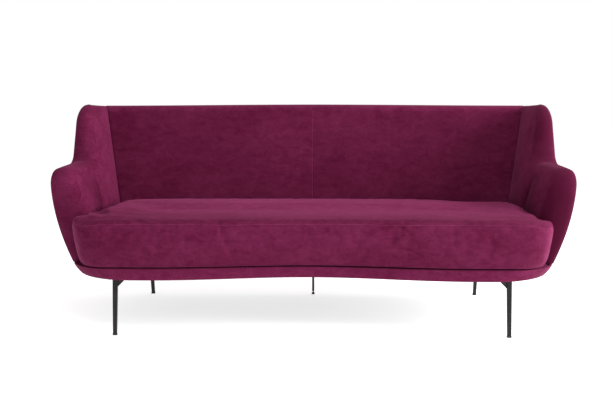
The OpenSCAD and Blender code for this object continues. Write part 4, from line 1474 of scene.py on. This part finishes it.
@dataclass(frozen=True)
class Base:
    """The upholstered band round the base, its platform, its webbing and the cloth under it."""

    plan: Plan
    thick: float = 0.012
    edge_r: float = 0.004
    edge_rows: int = 5
    face_rows: int = 6
    puff: float = 0.0015
    head_rise: float = 0.0032
    head_rear: float = -0.285
    head_fade: float = 0.05
    # Painted light: the band painted paler all over, and more on its rounded edges
    band_nap: float = 0.12
    edge_nap: float = 0.25
    band_shade: float = 0.08
    band_fill: float = 0.9
    deck_inset: float = 0.0125
    deck_thick: float = 0.004
    deck_gap: float = 0.001
    deck_half: float = 0.846
    deck_columns: int = 70
    deck_rows: int = 22
    deck_ends: tuple[float, ...] = (0.005, 0.012)
    strip_depth: float = 0.120
    strip_least: float = 0.0006
    strip_half: float = 0.884
    strip_rows: int = 8
    strip_ends: tuple[float, ...] = (0.005, 0.012, 0.024, 0.034)
    strip_turns: tuple[float, ...] = (0.0, 0.001, 0.008)
    sewn: Seam = Seam(width=0.010, depth=0.0014)
    sewn_places: tuple[float, ...] = (0.08, 0.05, 0.02)
    ripple: float = 0.0004
    ripple_scale: Triple = (9, 14, 0.3)
    dust_inset: float = 0.018
    dust_thick: float = 0.0009
    dust_pitch: float = 0.032
    dust_sag: float = 0.0005
    dust_wave: Place = (7, 0.0004)
    plate: Place = (0.055, 0.073)
    plate_x: float = 0.728
    plate_ys: Place = (-0.348, 0.19452)
    support_y: float = 0.25052
    support_r: float = 0.0295
    support_points: int = 40
    web_width: float = 0.050
    web_thick: float = 0.0016
    web_columns: int = 4
    web_inset: float = 0.0408
    long_pitch: float = 0.105
    long_half: float = 0.864
    long_steps: int = 120
    cross_pitch: float = 0.130
    cross_count: int = 5
    cross_steps: int = 60
    web_z: float = 0.248
    weave: float = 0.001

    def band_rows(self) -> list[Place]:
        """The band's section: pairs of height and inset, from the inner foot to the inner top."""
        low, high, r = self.plan.base_bottom, self.plan.base_top, self.edge_r
        foot = [(low, self.thick), (low, mix(r, self.thick, 0.5))]
        foot += [(low + r * (1 - cos(a)), r * (1 - sin(a)))
                 for a in quarter(self.edge_rows)]
        face = [(mix(low + r, high - r, u), -self.puff * dome(u))
                for u in steps(self.face_rows)[1:-1]]
        return foot + face + [(high - z + low, inset) for z, inset in reversed(foot)]

    def build_band(self) -> None:
        """Builds the upholstered band."""
        skin, rows = Skin(), []
        for z, inset in self.band_rows():
            lift = self.head_rise * clamp((z - self.plan.base_bottom) / self.plan.band_height)
            edge = clamp(inset / self.edge_r) if inset < self.edge_r else 0.0
            # Painted highlight over the band, stronger on its rounded edges
            nap_and_highlight, row = self.band_nap + self.edge_nap * edge, []
            for x, y in self.plan.band(z, inset):
                place = Vector((x, y, z + lift * ease((self.head_rear - y) / self.head_fade)))
                row.append(Spot(place, nap_and_highlight, self.band_shade))
            rows.append(row)
        skin.grid(rows + rows[:1], looped=True)
        skin.cover("base_band_cover", Finish.VELVET, ["base_band"], fill=self.band_fill)

    def deck_side(self, y: float) -> float:
        """Half width of the platform at y, between the feet of the arms."""
        h, z = self.plan.shell, self.plan.base_top
        places = [(-h.flank_x, h.arm_inner_x)]
        places += [(h.inner(s, z)[1], h.inner_half(s, z))
                   for s in (h.arm_front_y, h.seam_y, h.corner_y)]
        for (ay, ax), (by, bx) in zip(places, places[1:]):
            if y <= by:
                return mix(ax, bx, clamp((y - ay) / (by - ay))) - self.deck_gap
        return places[-1][1] - self.deck_gap

    def arm_front(self, x: float) -> float:
        """The rounded front of the arm's foot at x, where the strip ends."""
        h, z = self.plan.shell, self.plan.base_top
        inside = h.inner_half(h.arm_front_y, z)
        k = clamp((abs(x) - inside) / (h.flank(z) - inside))
        reach = h.arm_roll * (2 * sqrt(k * (1 - k))) ** h.soft_full
        return h.arm_front_y - reach - self.deck_gap

    def deck_rear(self, x: float) -> float:
        """Rear line of the platform at x, at the foot of the back."""
        h, z = self.plan.shell, self.plan.base_top
        part = 1 - min(1.0, abs(x) / h.inner_half(h.corner_y, z))
        return h.inner(h.corner_y + part * h.corner_inner_x, z)[1] - self.deck_gap

    def deck_line(self, x: float, front: bool) -> list[Vector]:
        """The platform's upper face at x, in the velvet strip or in the lining behind it."""
        foremost = self.plan.crossing(x, self.plan.base_top, self.deck_inset)[0]
        sewn = foremost + self.strip_depth if abs(x) <= self.deck_half else self.arm_front(x)
        start, end, rows = sewn, self.deck_rear(x), self.deck_rows
        if front:
            start, end, rows = foremost, max(sewn, foremost + self.strip_least), self.strip_rows
        by_x, by_y, layer = self.ripple_scale
        line = []
        for v in closer(0.0, 1.0, rows, self.sewn_places, both=True):
            y = mix(start, end, v)
            side = x if front else x / self.deck_half * self.deck_side(y)
            ripple = self.ripple * (1 + noise.noise(Vector((x * by_x, y * by_y, layer))))
            dip = max(self.sewn.turn(end - y if front else y - start), ripple)
            line.append(Vector((side, y, self.plan.base_top + self.deck_thick - dip)))
        return line

    def build_deck(self, front: bool) -> None:
        """Builds the velvet strip in front of the platform, or else the lining behind it."""
        half, near, name, finish = self.deck_half, self.deck_ends, "deck_cloth", Finish.LINING
        if front:
            half, name, finish = self.strip_half, "deck_front_strip", Finish.VELVET
            near = *((half - self.deck_half + d) / half for d in self.strip_turns), *self.strip_ends
        skin, low = Skin(), self.plan.base_top
        lines = [self.deck_line(u * half, front)
                 for u in closer(-1.0, 1.0, self.deck_columns, near, both=True)]
        skin.slab([[Spot(p) for p in line] for line in lines],
                  [[Spot(Vector((p.x, p.y, low))) for p in line] for line in lines])
        skin.cover(name, finish, ["seat_deck"])

    def build_dust_cloth(self) -> None:
        """Builds the thin cloth under the base, cut out round the plates of legs and support."""
        (wide, deep), r, bottom = self.plate, self.support_r, self.plan.base_bottom
        holes = [[(side * self.plate_x + wide / 2 * dx, y + deep / 2 * dy)
                  for dx, dy in ((-1, -1), (1, -1), (1, 1), (-1, 1))]
                 for side in (-1, 1) for y in self.plate_ys]
        turns = [tau * i / self.support_points for i in range(self.support_points)]
        holes.append([(r * cos(a), self.support_y + r * sin(a)) for a in turns])
        low, skin = bottom + self.dust_sag, Skin()
        skin.cut_cloth(self.plan.band(bottom, self.dust_inset), holes, self.dust_pitch,
                       lambda x, y: low + wander(Vector((x, y, 0)), *self.dust_wave),
                       self.dust_thick)
        skin.cover("dust_cloth", Finish.LINING, ["dust_cover"])

    def straps(self, name: str, node: str, numbers: Iterable[int],
               line: Callable[[int, float], list[Vector]]) -> None:
        """Builds flat straps.

        Args:
            name: the piece's name.
            node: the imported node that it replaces.
            numbers: the straps' numbers.
            line: the points of a strap, by its number and the place across it.
        """
        skin, up = Skin(), Vector((0, 0, self.web_thick / 2))
        for number in numbers:
            lines = [line(number, self.web_width * (v - 0.5)) for v in steps(self.web_columns)]
            skin.slab([[Spot(p + up) for p in row] for row in lines],
                      [[Spot(p - up) for p in row] for row in lines])
        skin.cover(name, Finish.WEBBING, [node])

    def long_line(self, number: int, across: float) -> list[Vector]:
        """A line of a strap along the seat, woven through the cross straps."""
        y, line = (number - 0.5) * self.long_pitch - self.web_width / 2 + across, []
        for x in (mix(-self.long_half, self.long_half, u) for u in steps(self.long_steps)):
            wave = cos(pi * (x / self.cross_pitch + number))
            line.append(Vector((x, y, self.web_z + self.weave * wave)))
        return line

    def cross_line(self, number: int, across: float) -> list[Vector]:
        """A line of a strap from front to rear, woven through the long straps."""
        x = number * self.cross_pitch + across
        ends = self.plan.crossing(x, self.plan.base_bottom, self.web_inset)
        line = []
        for y in (mix(*ends, u) for u in steps(self.cross_steps)):
            row = (y + self.long_pitch / 2 + self.web_width / 2) / self.long_pitch
            wave = cos(pi * (row + number))
            line.append(Vector((x, y, self.web_z - self.weave * wave)))
        return line

    def build_webbing(self) -> None:
        """Builds the elastic straps along and across the seat."""
        self.straps("long_web_straps", "seat_webbing_long", (-1, 0, 1), self.long_line)
        self.straps("cross_web_straps", "seat_webbing_cross",
                    range(-self.cross_count, self.cross_count + 1), self.cross_line)


@dataclass(frozen=True)
class Swelling:
    """A soft rise, or a dip, about one place of the cushion's top."""

    place: Place
    reach: Place
    height: float

    def at(self, x: float, y: float) -> float:
        """The rise at a place."""
        away = hypot((x - self.place[0]) / self.reach[0], (y - self.place[1]) / self.reach[1])
        return self.height * exp(-away ** 2)


FILLING = {"quality": 5, "mass": 0.4, "tension_stiffness": 12, "compression_stiffness": 12,
           "shear_stiffness": 6, "bending_stiffness": 1.2, "use_pressure": True,
           "uniform_pressure_force": 4, "shrink_min": -0.012, "vertex_group_mass": "held",
           "pin_stiffness": 1.0}


@dataclass(frozen=True)
class Cushion:
    """The bench cushion: boxed, with a sewn edge, ears in front of the arms and a crowned top."""

    plan: Plan
    bottom: float = 0.2544
    seam: float = 0.424
    rise: float = 0.018
    crown: float = 0.0185
    crown_power: float = 2.6
    border_crown: float = 0.011
    side_crown: float = 0.002
    reach: float = 0.018
    front_hollow: float = 0.014
    ear: float = 0.037
    ear_depth: float = 0.040
    front_r: float = 0.098
    low_r: float = 0.118
    droop: float = 0.014
    rear_r: float = 0.105
    edge_r: float = 0.009
    gap: float = 0.006
    crown_reach: float = 0.86
    crown_spread: float = 1.6
    fuller: tuple[Swelling, ...] = (Swelling((-0.84, -0.28), (0.13, 0.18), 0.012),
                                    Swelling((-0.84, -0.12), (0.09, 0.12), 0.006),
                                    Swelling((0.85, -0.10), (0.09, 0.14), 0.010))
    seam_shifts: tuple[Swelling, ...] = (Swelling((0.77, 0.13), (0.17, 0.12), -0.017),
                                         Swelling((-0.80, 0.13), (0.12, 0.10), -0.004),
                                         Swelling((-0.89, -0.29), (0.07, 0.13), 0.016),
                                         Swelling((0.87, -0.10), (0.10, 0.14), 0.011))
    fuller_reach: float = 0.020
    hang_reach: float = 1.5
    least_side: float = 0.0005
    side_counts: tuple[int, int] = (9, 22)
    counts: tuple[int, int, int, int] = (60, 20, 14, 60)
    ring_counts: tuple[int, int, int] = (4, 12, 14)
    voxel: float = 0.011
    slack: float = 0.004
    sink: float = 0.0095
    cap: float = 0.012
    frames: int = 20
    held_width: float = 0.010
    rest_height: float = 0.004
    stuffing: float = 0.95
    cord_r: float = 0.0018
    cord_out: float = 0.15
    cord_sides: int = 8
    cord_rounds: int = 3
    low_seam: float = 0.35
    # Painted shade on the top's front roll, painted highlight on the top and at the front corners,
    # a pale line at the top seam that is partly a painted highlight, and painted shade on the
    # border that grows toward the bottom
    roll_depth: float = 0.27
    roll_shade: float = 0.34
    top_highlight: float = 0.30
    top_band: Place = (0.012, 0.02)
    seam_nap_and_highlight: Place = (0.17, 0.012)
    corner_nap: float = 0.34
    corner_turn: Place = (0.45, 0.4)
    corner_depth: float = 0.01
    side_shade: float = 0.16
    low_shade: Place = (0.16, 0.16)

    @cached_property
    def ear_back_y(self) -> float:
        """Rear end of the ears, just before the arms."""
        h = self.plan.shell
        return h.arm_front_y - h.arm_roll - self.gap

    @cached_property
    def front_y(self) -> float:
        """Foremost seam of the cushion."""
        return self.plan.front_y - self.reach

    def share(self, z: float) -> float:
        """Share of the way up the border, from its lower to its upper seam."""
        return clamp((z - self.bottom) / (self.seam - self.bottom))

    def climb(self, z: float) -> float:
        """How far an outline at z rises towards the back."""
        return self.rise * self.share(z)

    def side(self, y: float, z: float) -> float:
        """Half width at a place of the side."""
        h = self.plan.shell
        low = min(z, self.seam)
        station = max(y, h.arm_front_y) + h.lean_share * max(0.0, h.seat_line - low)
        ear = self.ear * (1 - ease((y - self.ear_back_y + self.ear_depth) / self.ear_depth))
        return h.inner_half(station, low) - self.gap + ear

    def hang(self, x: float, depth: float, wide: float) -> float:
        """How far the seam hangs at a front corner, at a depth behind the front line."""
        reach = self.hang_reach * self.front_r
        return self.droop * ease(1 - (wide - abs(x)) / reach) * (1 - ease(depth / reach))

    @cached_property
    def side_shares(self) -> list[float]:
        """Places along the side between its corners, closer together at the ear."""
        start = self.front_y + self.front_r
        length = self.plan.shell.corner_y - self.gap - self.rear_r - start
        ear = max(self.least_side, self.ear_back_y - start) / length
        before, behind = self.side_counts
        return [*(ear * u for u in steps(before)[1:]),
                *(mix(ear, 1.0, u) for u in steps(behind)[1:-1])]

    def back(self, z: float) -> float:
        """Rear line at the corners."""
        h = self.plan.shell
        rise = min(z, self.seam) + self.climb(z) - h.seat_line
        return h.corner_y - self.gap + h.lean_share * rise

    def outline(self, z: float, inset: float, swell: float) -> list[Vector]:
        """The cushion's outline at a height.

        Args:
            z: the height in front.
            inset: how far it is moved in.
            swell: how far the border swells out there, from 0 to 1.

        Returns:
            The points, round the cushion.
        """
        u = self.share(z)
        wide = self.side(self.front_y, z)
        front = mix(self.plan.front_y, self.front_y, u) + inset - swell * self.border_crown
        back = self.back(z) - inset
        radii = (max(mix(self.low_r, self.front_r, u) - inset, self.front_r / 4),
                 max(self.rear_r - inset, self.rear_r / 4))
        made = []
        for x, y in self.plan.rounded(wide - inset + swell * self.side_crown, (front, back), radii,
                                      self.counts, self.side_shares,
                                      mix(self.plan.top_hollow, self.front_hollow, u)):
            shift = u * sum(s.at(x, y) for s in self.seam_shifts)
            if z > self.seam:
                shift += ease(inset / self.fuller_reach) * sum(s.at(x, y) for s in self.fuller)
            lift = self.climb(z) * clamp((y - front) / (back - front))
            lift += shift - u * self.hang(x, y - front, wide)
            made.append(Vector((x * self.side(y, z) / wide, y, z + lift)))
        return made

    def rings(self) -> list[list[Vector]]:
        """Rings of the cushion's shape before filling, from the bottom to the top of the crown."""
        reach = (self.plan.shell.corner_y - self.front_y) / 2 * self.crown_reach
        crown = self.crown - self.sink
        r, edge, slack = self.edge_r, self.edge_r / 3, self.slack
        low, border, top = self.ring_counts
        places = [(self.bottom + r * (1 - cos(a)), r * (1 - sin(a)) + slack, 0.0)
                  for a in quarter(low)]
        places += [(mix(self.bottom, self.seam, u), slack, dome(u)) for u in steps(border)[1:-1]]
        places += [(self.seam - r / 2, slack, 0.0), (self.seam, edge + slack, 0.0)]
        for share in (u ** self.crown_spread for u in steps(top)[1:]):
            z = self.seam + crown * (1 - (1 - share) ** self.crown_power)
            places.append((z - slack, edge + reach * share + slack, 0.0))
        return [self.outline(*place) for place in places]

    def start_shape(self) -> Object:
        """The shape before filling, as an even net of small faces."""
        skin = Skin()
        skin.grid([[Spot(p) for p in ring] for ring in self.rings()], looped=True)
        skin.close()
        rough = skin.piece("seat_cushion_start", Finish.SEAT_VELVET.material)
        remesh = rough.modifiers.new("even", "REMESH")
        remesh.mode = "VOXEL"
        remesh.voxel_size = self.voxel
        return rough

    def seam_lines(self) -> tuple[list[Vector], list[Vector]]:
        """The sewn edge at the top and at the bottom of the border."""
        low = self.edge_r * self.low_seam
        return (self.outline(self.seam - self.edge_r / 4, self.edge_r / 6, 0.0),
                self.outline(self.bottom + low, low, 0.0))

    def fill(self, rough: Object) -> None:
        """Fills the even net by a cloth simulation with pressure, held at its seams and below."""
        settle_modifiers(rough)
        before = [v.co.copy() for v in rough.data.vertices]
        top, low = self.seam_lines()
        tree = line_tree(top + low)
        held = rough.vertex_groups.new(name="held")
        for i, place in enumerate(before):
            rests = 1.0 if place.z < self.bottom + self.rest_height else 0.0
            held.add([i], max(bell(tree.find_nearest(place)[3], self.held_width), rests), "REPLACE")
        cloth = rough.modifiers.new("fill", "CLOTH")
        for name, value in FILLING.items():
            setattr(cloth.settings, name, value)
        cloth.settings.effector_weights.gravity = 0
        cloth.collision_settings.use_collision = False
        cloth.collision_settings.use_self_collision = False
        cloth.point_cache.frame_start, cloth.point_cache.frame_end = 1, self.frames
        for number in range(1, self.frames + 1):
            bpy.context.scene.frame_set(number)
        settle_modifiers(rough)
        for vert, place in zip(rough.data.vertices, before):
            move = vert.co - place
            if move.length > self.cap:
                move *= self.cap / move.length
            vert.co = place + move
        bpy.context.scene.frame_set(1)

    def build(self) -> Object:
        """Builds the filled cushion."""
        rough = self.start_shape()
        self.fill(rough)
        rough.name = rough.data.name = "seat_cushion_cover"
        rough.vertex_groups.clear()
        finer = rough.modifiers.new("finer", "SUBSURF")
        finer.levels = finer.render_levels = 1
        settle_modifiers(rough)
        self.brush(rough.data)
        rough.data.shade_smooth()
        place_piece(rough, Finish.SEAT_VELVET, ["seat_cushion"], Body.CUSHION, self.stuffing)
        return rough

    def brush(self, mesh: Mesh) -> None:
        """Writes painted highlights, the pale line at the top seam and painted shade on the
        cushion.
        """
        tree = line_tree(self.seam_lines()[0])
        nap_and_highlight = mesh.attributes.new("nap_and_highlight", "FLOAT", "POINT")
        shade = mesh.attributes.new("shade", "FLOAT", "POINT")
        (below, band), (pale, width) = self.top_band, self.seam_nap_and_highlight
        (start, turn), (low, reach) = self.corner_turn, self.low_shade
        for i, vert in enumerate(mesh.vertices):
            x, (_, y, z) = abs(vert.normal.x), vert.co
            # Painted highlight on the top, taken back on its front roll, where shade is painted
            up = ease((z - self.seam + below) / band)
            roll = up * (1 - ease((y - self.front_y) / self.roll_depth))
            # Painted highlight where the front corners turn sideways, below the top
            corner = ease((x - start) / turn) * ease((self.ear_back_y - y) / self.corner_depth)
            nap_and_highlight.data[i].value = (pale * bell(tree.find_nearest(vert.co)[3], width)
                                 + self.top_highlight * (up - roll) + self.corner_nap * corner * (1 - up))
            # Painted shade on the border, darker toward the bottom, and on the top's front roll
            side = self.side_shade + low * ease((self.seam - z) / reach)
            shade.data[i].value = (1 - up) * (1 - corner) * side + self.roll_shade * roll

    def build_seams(self, cushion: Object) -> None:
        """Lays the corded seams on the filled cushion."""
        tree = surface_tree(cushion)
        for name, line in zip(("top", "bottom"), self.seam_lines()):
            centre = []
            for p in line:
                place, normal, _, _ = tree.find_nearest(p)
                centre.append(place + normal * self.cord_r * self.cord_out)
            skin, centre = Skin(), smooth_loop(centre, self.cord_rounds)
            skin.grid(tube_rings(centre, self.cord_r, self.cord_sides), looped=True)
            skin.cover(f"cushion_seam_{name}", Finish.SEAT_VELVET, body=Body.CUSHION)


@dataclass(frozen=True)
class Zip:
    """The zip in the rear border of the cushion: two tapes, their teeth, the slider and its tab."""

    cushion: Object
    low: float = 0.349
    high: float = 0.367
    half: float = 0.450
    behind: float = 0.6
    lift: float = 0.0002
    thick: float = 0.0011
    edge: float = 0.0004
    slit: float = 0.0008
    columns: int = 120
    rows: int = 4
    pitch: float = 0.0030
    bare: int = 6
    tooth: Triple = (0.0017, 0.0016, 0.0030)
    tooth_out: float = 0.30
    tooth_ring: tuple[Place, ...] = ((-1, -0.6), (-0.6, -1), (0.6, -1), (1, -0.6), (1, 0.6),
                                     (0.6, 1), (-0.6, 1), (-1, 0.6))
    slider_x: float = -0.405
    slider_seat: float = 0.4
    slider: tuple[Place, ...] = ((-0.0065, -0.0030), (-0.0040, -0.0048), (0.0030, -0.0048),
                                 (0.0058, -0.0036), (0.0065, 0.0))
    slider_thick: float = 0.0022
    bridge: tuple[Place, ...] = ((-0.0035, 0.0), (-0.0025, 0.0022), (0.0025, 0.0022), (0.0035, 0.0))
    bridge_wide: float = 0.0024
    tab: tuple[Place, ...] = ((0.0, -0.0018), (0.0040, -0.0034), (0.0180, -0.0040),
                              (0.0215, -0.0026), (0.0226, 0.0))
    tab_out: float = 0.0046
    tab_thick: float = 0.0011

    @cached_property
    def tree(self) -> BVHTree:
        """Search tree of the cushion's cover."""
        return surface_tree(self.cushion)

    def at(self, x: float, z: float, out: float) -> Vector:
        """A place on the rear border, or a little way out from it."""
        place = self.tree.ray_cast(Vector((x, self.behind, z)), Vector((0, -1, 0)))[0]
        return place + Vector((0, self.lift + out, 0))

    @cached_property
    def middle(self) -> float:
        """Height of the line of teeth."""
        return (self.low + self.high) / 2

    def tape(self, low: float, high: float, out: float) -> list[list[Spot]]:
        """One face of a tape between two heights, a little way out, with thinner edges."""
        edge, rows = self.edge if out else 0.0, steps(self.rows)
        return [[Spot(self.at(mix(-self.half, self.half, u), mix(low, high, v),
                              out - edge * (1 - dome(v)))) for v in rows]
                for u in steps(self.columns)]

    def build_tapes(self) -> None:
        """Builds the two tapes on either side of the teeth."""
        skin, below, above = Skin(), self.middle - self.slit, self.middle + self.slit
        for low, high in ((self.low, below), (above, self.high)):
            skin.slab(self.tape(low, high, 0.0), self.tape(low, high, self.thick))
        skin.cover("zip_tapes", Finish.TAPE, ["cushion_zip"], Body.CUSHION)

    def build_teeth(self) -> None:
        """Builds the teeth of both tapes, which lie in each other's gaps."""
        skin = Skin()
        wide, deep, long = self.tooth
        count = round(2 * self.half / self.pitch) - self.bare
        for i in range(count):
            z = self.middle + (1 if i % 2 else -1) * long * self.tooth_out
            base = self.at((i - count / 2) * self.pitch, z, self.thick / 2)
            skin.prism([base + Vector((wide / 2 * dx, deep / 2 * (1 + dy), -long / 2))
                        for dx, dy in self.tooth_ring], Vector((0, 0, long)))
        skin.cover("zip_teeth", Finish.NYLON, body=Body.CUSHION, sharp=30.0)

    def build_slider(self) -> None:
        """Builds the slider with its hanging tab."""
        skin = Skin()
        base = self.at(self.slider_x, self.middle, self.thick + self.tooth[1] * self.slider_seat)
        skin.prism([base + Vector((x, 0, z)) for x, z in both_edges(self.slider)],
                   Vector((0, self.slider_thick, 0)))
        skin.prism([base + Vector((x, self.slider_thick + y, -self.bridge_wide / 2))
                    for x, y in self.bridge], Vector((0, 0, self.bridge_wide)))
        skin.prism([base + Vector((x, self.tab_out, z)) for x, z in both_edges(self.tab)],
                   Vector((0, self.tab_thick, 0)))
        skin.cover("zip_slider", Finish.STEEL, body=Body.CUSHION, sharp=35.0)


def both_edges(half: Sequence[Place]) -> list[Place]:
    """A closed outline from its lower half, which starts and may end on the long axis."""
    return [*half, *((x, -z) for x, z in reversed(half) if z)]


def surface_tree(piece: Object) -> BVHTree:
    """A search tree of a piece's surface."""
    return BVHTree.FromObject(piece, bpy.context.evaluated_depsgraph_get())


def line_tree(points: Sequence[Vector]) -> BVHTree:
    """A search tree of tiny faces along points, to find how near a place is to them."""
    verts = [p + Vector(way) for p in points for way in ((0, 0, 0), (SPECK, 0, 0), (0, SPECK, 0))]
    return BVHTree.FromPolygons(verts, [(i, i + 1, i + 2) for i in range(0, len(verts), 3)])


def smooth_loop(points: list[Vector], rounds: int) -> list[Vector]:
    """A closed line, smoothed by averaging neighbours."""
    for _ in range(rounds):
        ahead, behind = points[1:] + points[:1], points[-1:] + points[:-1]
        points = [(a + p * 2 + b) / 4 for a, p, b in zip(behind, points, ahead)]
    return points


def tube_rings(centre: list[Vector], radius: float, sides: int) -> list[list[Spot]]:
    """Rings of a closed tube along a closed line."""
    count, rings = len(centre), []
    for i, place in enumerate(centre):
        ahead = (centre[(i + 1) % count] - centre[i - 1]).normalized()
        across = ahead.cross(Vector((0, 0, 1))).normalized()
        above = across.cross(ahead)
        # The cord's paleness, partly a painted highlight
        rings.append([Spot(place + (across * cos(a) + above * sin(a)) * radius, CORD_NAP_AND_HIGHLIGHT)
                      for a in (tau * j / sides for j in range(sides))])
    return rings + rings[:1]


def settle_modifiers(thing: Object) -> None:
    """Applies all the modifiers of an object to its mesh."""
    graph = bpy.context.evaluated_depsgraph_get()
    made = bpy.data.meshes.new_from_object(thing.evaluated_get(graph))
    old, name = thing.data, thing.data.name
    thing.modifiers.clear()
    thing.data = made
    bpy.data.meshes.remove(old)
    made.name = name


@dataclass(frozen=True)
class Hardware:
    """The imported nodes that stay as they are: timber, legs, screws and glides."""

    ply_parts: tuple[str, ...] = ("rib", "cap")

    def dress(self) -> None:
        """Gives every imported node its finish."""
        rows = {row["node"]: row["material_slot"] for row in frame["record"]["subparts"]}
        for name, node in frame["nodes"].items():
            finish = Finish[Slot(rows[name]).name]
            if finish is Finish.TIMBER and any(part in name for part in self.ply_parts):
                finish = Finish.RIB_TIMBER
            node.data.materials.clear()
            node.data.materials.append(finish.material)
            LOG.info("%s keeps its shape, in %s", name, finish.material.name)


@dataclass(frozen=True)
class Lamp:
    """A soft rectangular light, with its width and height, and its power in watts."""

    name: str
    place: Triple
    target: Triple
    size: Place
    power: float

    def hang(self) -> None:
        """Puts the light into the scene, turned to its target."""
        lamp = bpy.data.lights.new(self.name, "AREA")
        lamp.shape = "RECTANGLE"
        lamp.size, lamp.size_y = self.size
        lamp.energy = self.power
        holder = link(self.name, lamp)
        holder.location = self.place
        way = Vector(self.target) - Vector(self.place)
        holder.rotation_euler = way.to_track_quat("-Z", "Y").to_euler()


@dataclass(frozen=True)
class Studio:
    """The white studio: floor, lights and the camera at the photograph's view."""

    lens: float = 44.41
    sensor: float = 36.0
    sight: float = 200.0
    camera_place: Triple = (0.040, -3.100, 0.833)
    camera_pitch: float = 7.09
    camera_turn: float = 1.24
    floor_half: float = 30.0
    floor_greys: tuple[Colour, Colour] = ((0.93, 0.93, 0.93), (0.96, 0.96, 0.96))
    floor_glow: float = 0.70
    room_light: float = 0.34
    lamps: tuple[Lamp, ...] = (
        Lamp("key", (4.4, -1.3, 2.0), (-0.3, 0.0, 0.45), (2.4, 2.0), 270.0),
        Lamp("top", (0.4, -0.4, 3.0), (0.0, -0.2, 0.4), (4.5, 2.0), 66.0),
        Lamp("fill", (-2.2, -3.6, 1.4), (0.0, 0.0, 0.45), (2.4, 2.0), 6.0))

    def build(self) -> None:
        """Builds floor, world, lights and camera."""
        self.floor()
        self.world()
        for lamp in self.lamps:
            lamp.hang()
        camera = bpy.data.cameras.new("view")
        camera.lens, camera.sensor_width, camera.clip_end = self.lens, self.sensor, self.sight
        holder = link("view", camera)
        holder.location = self.camera_place
        pitch, turn = radians(90 - self.camera_pitch), radians(self.camera_turn)
        holder.rotation_euler = Euler((pitch, 0, turn))
        bpy.context.scene.camera = holder
        bpy.context.scene.view_settings.view_transform = "Standard"

    def floor(self) -> None:
        """Lays the pale floor."""
        sheet = Sheet(bpy.data.materials.new("pale_floor"))
        material = sheet.finish({
            "Base Color": sheet.blend(*self.floor_greys, sheet.grain(scale=3.0)),
            "Roughness": 0.9, "Specular IOR Level": 0.0,
            "Emission Color": WHITE, "Emission Strength": self.floor_glow})
        half = self.floor_half
        skin = Skin()
        skin.grid([[Spot(Vector((x, y, 0))) for x in (-half, half)] for y in (-half, half)])
        skin.piece("floor", material)

    def world(self) -> None:
        """Sets the even white light of the room, and the white behind."""
        world = bpy.data.worlds.new("white_room")
        sheet = Sheet(world)
        room, seen = [
            sheet.node("ShaderNodeBackground", values={"Color": WHITE, "Strength": strength})
            for strength in (self.room_light, 1.0)]
        camera = sheet.node("ShaderNodeLightPath", output="Is Camera Ray")
        sheet.end(sheet.node("ShaderNodeMixShader", values={0: camera, 1: room, 2: seen}),
                  "ShaderNodeOutputWorld")
        bpy.context.scene.world = world


def main() -> None:
    """Builds the sofa's pieces in order."""
    logging.basicConfig(level=logging.INFO, format="%(message)s")
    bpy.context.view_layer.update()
    for finish in Finish:
        LOG.info("finish %s", finish.material.name)
    Hardware().dress()
    shell = Shell()
    back = BackCovers(shell)
    for side in Side:
        ArmCover(shell, side).build()
        WingCover(shell, side).build()
        back.build_half(side)
    back.build_roll()
    back.build_outside()
    back.build_webbing()
    plan = Plan(shell)
    base = Base(plan)
    base.build_band()
    base.build_deck(front=True)
    base.build_deck(front=False)
    base.build_dust_cloth()
    base.build_webbing()
    cushion = Cushion(plan)
    filled = cushion.build()
    cushion.build_seams(filled)
    closure = Zip(filled)
    closure.build_tapes()
    closure.build_teeth()
    closure.build_slider()
    Studio().build()


if __name__ == "__main__":
    main()
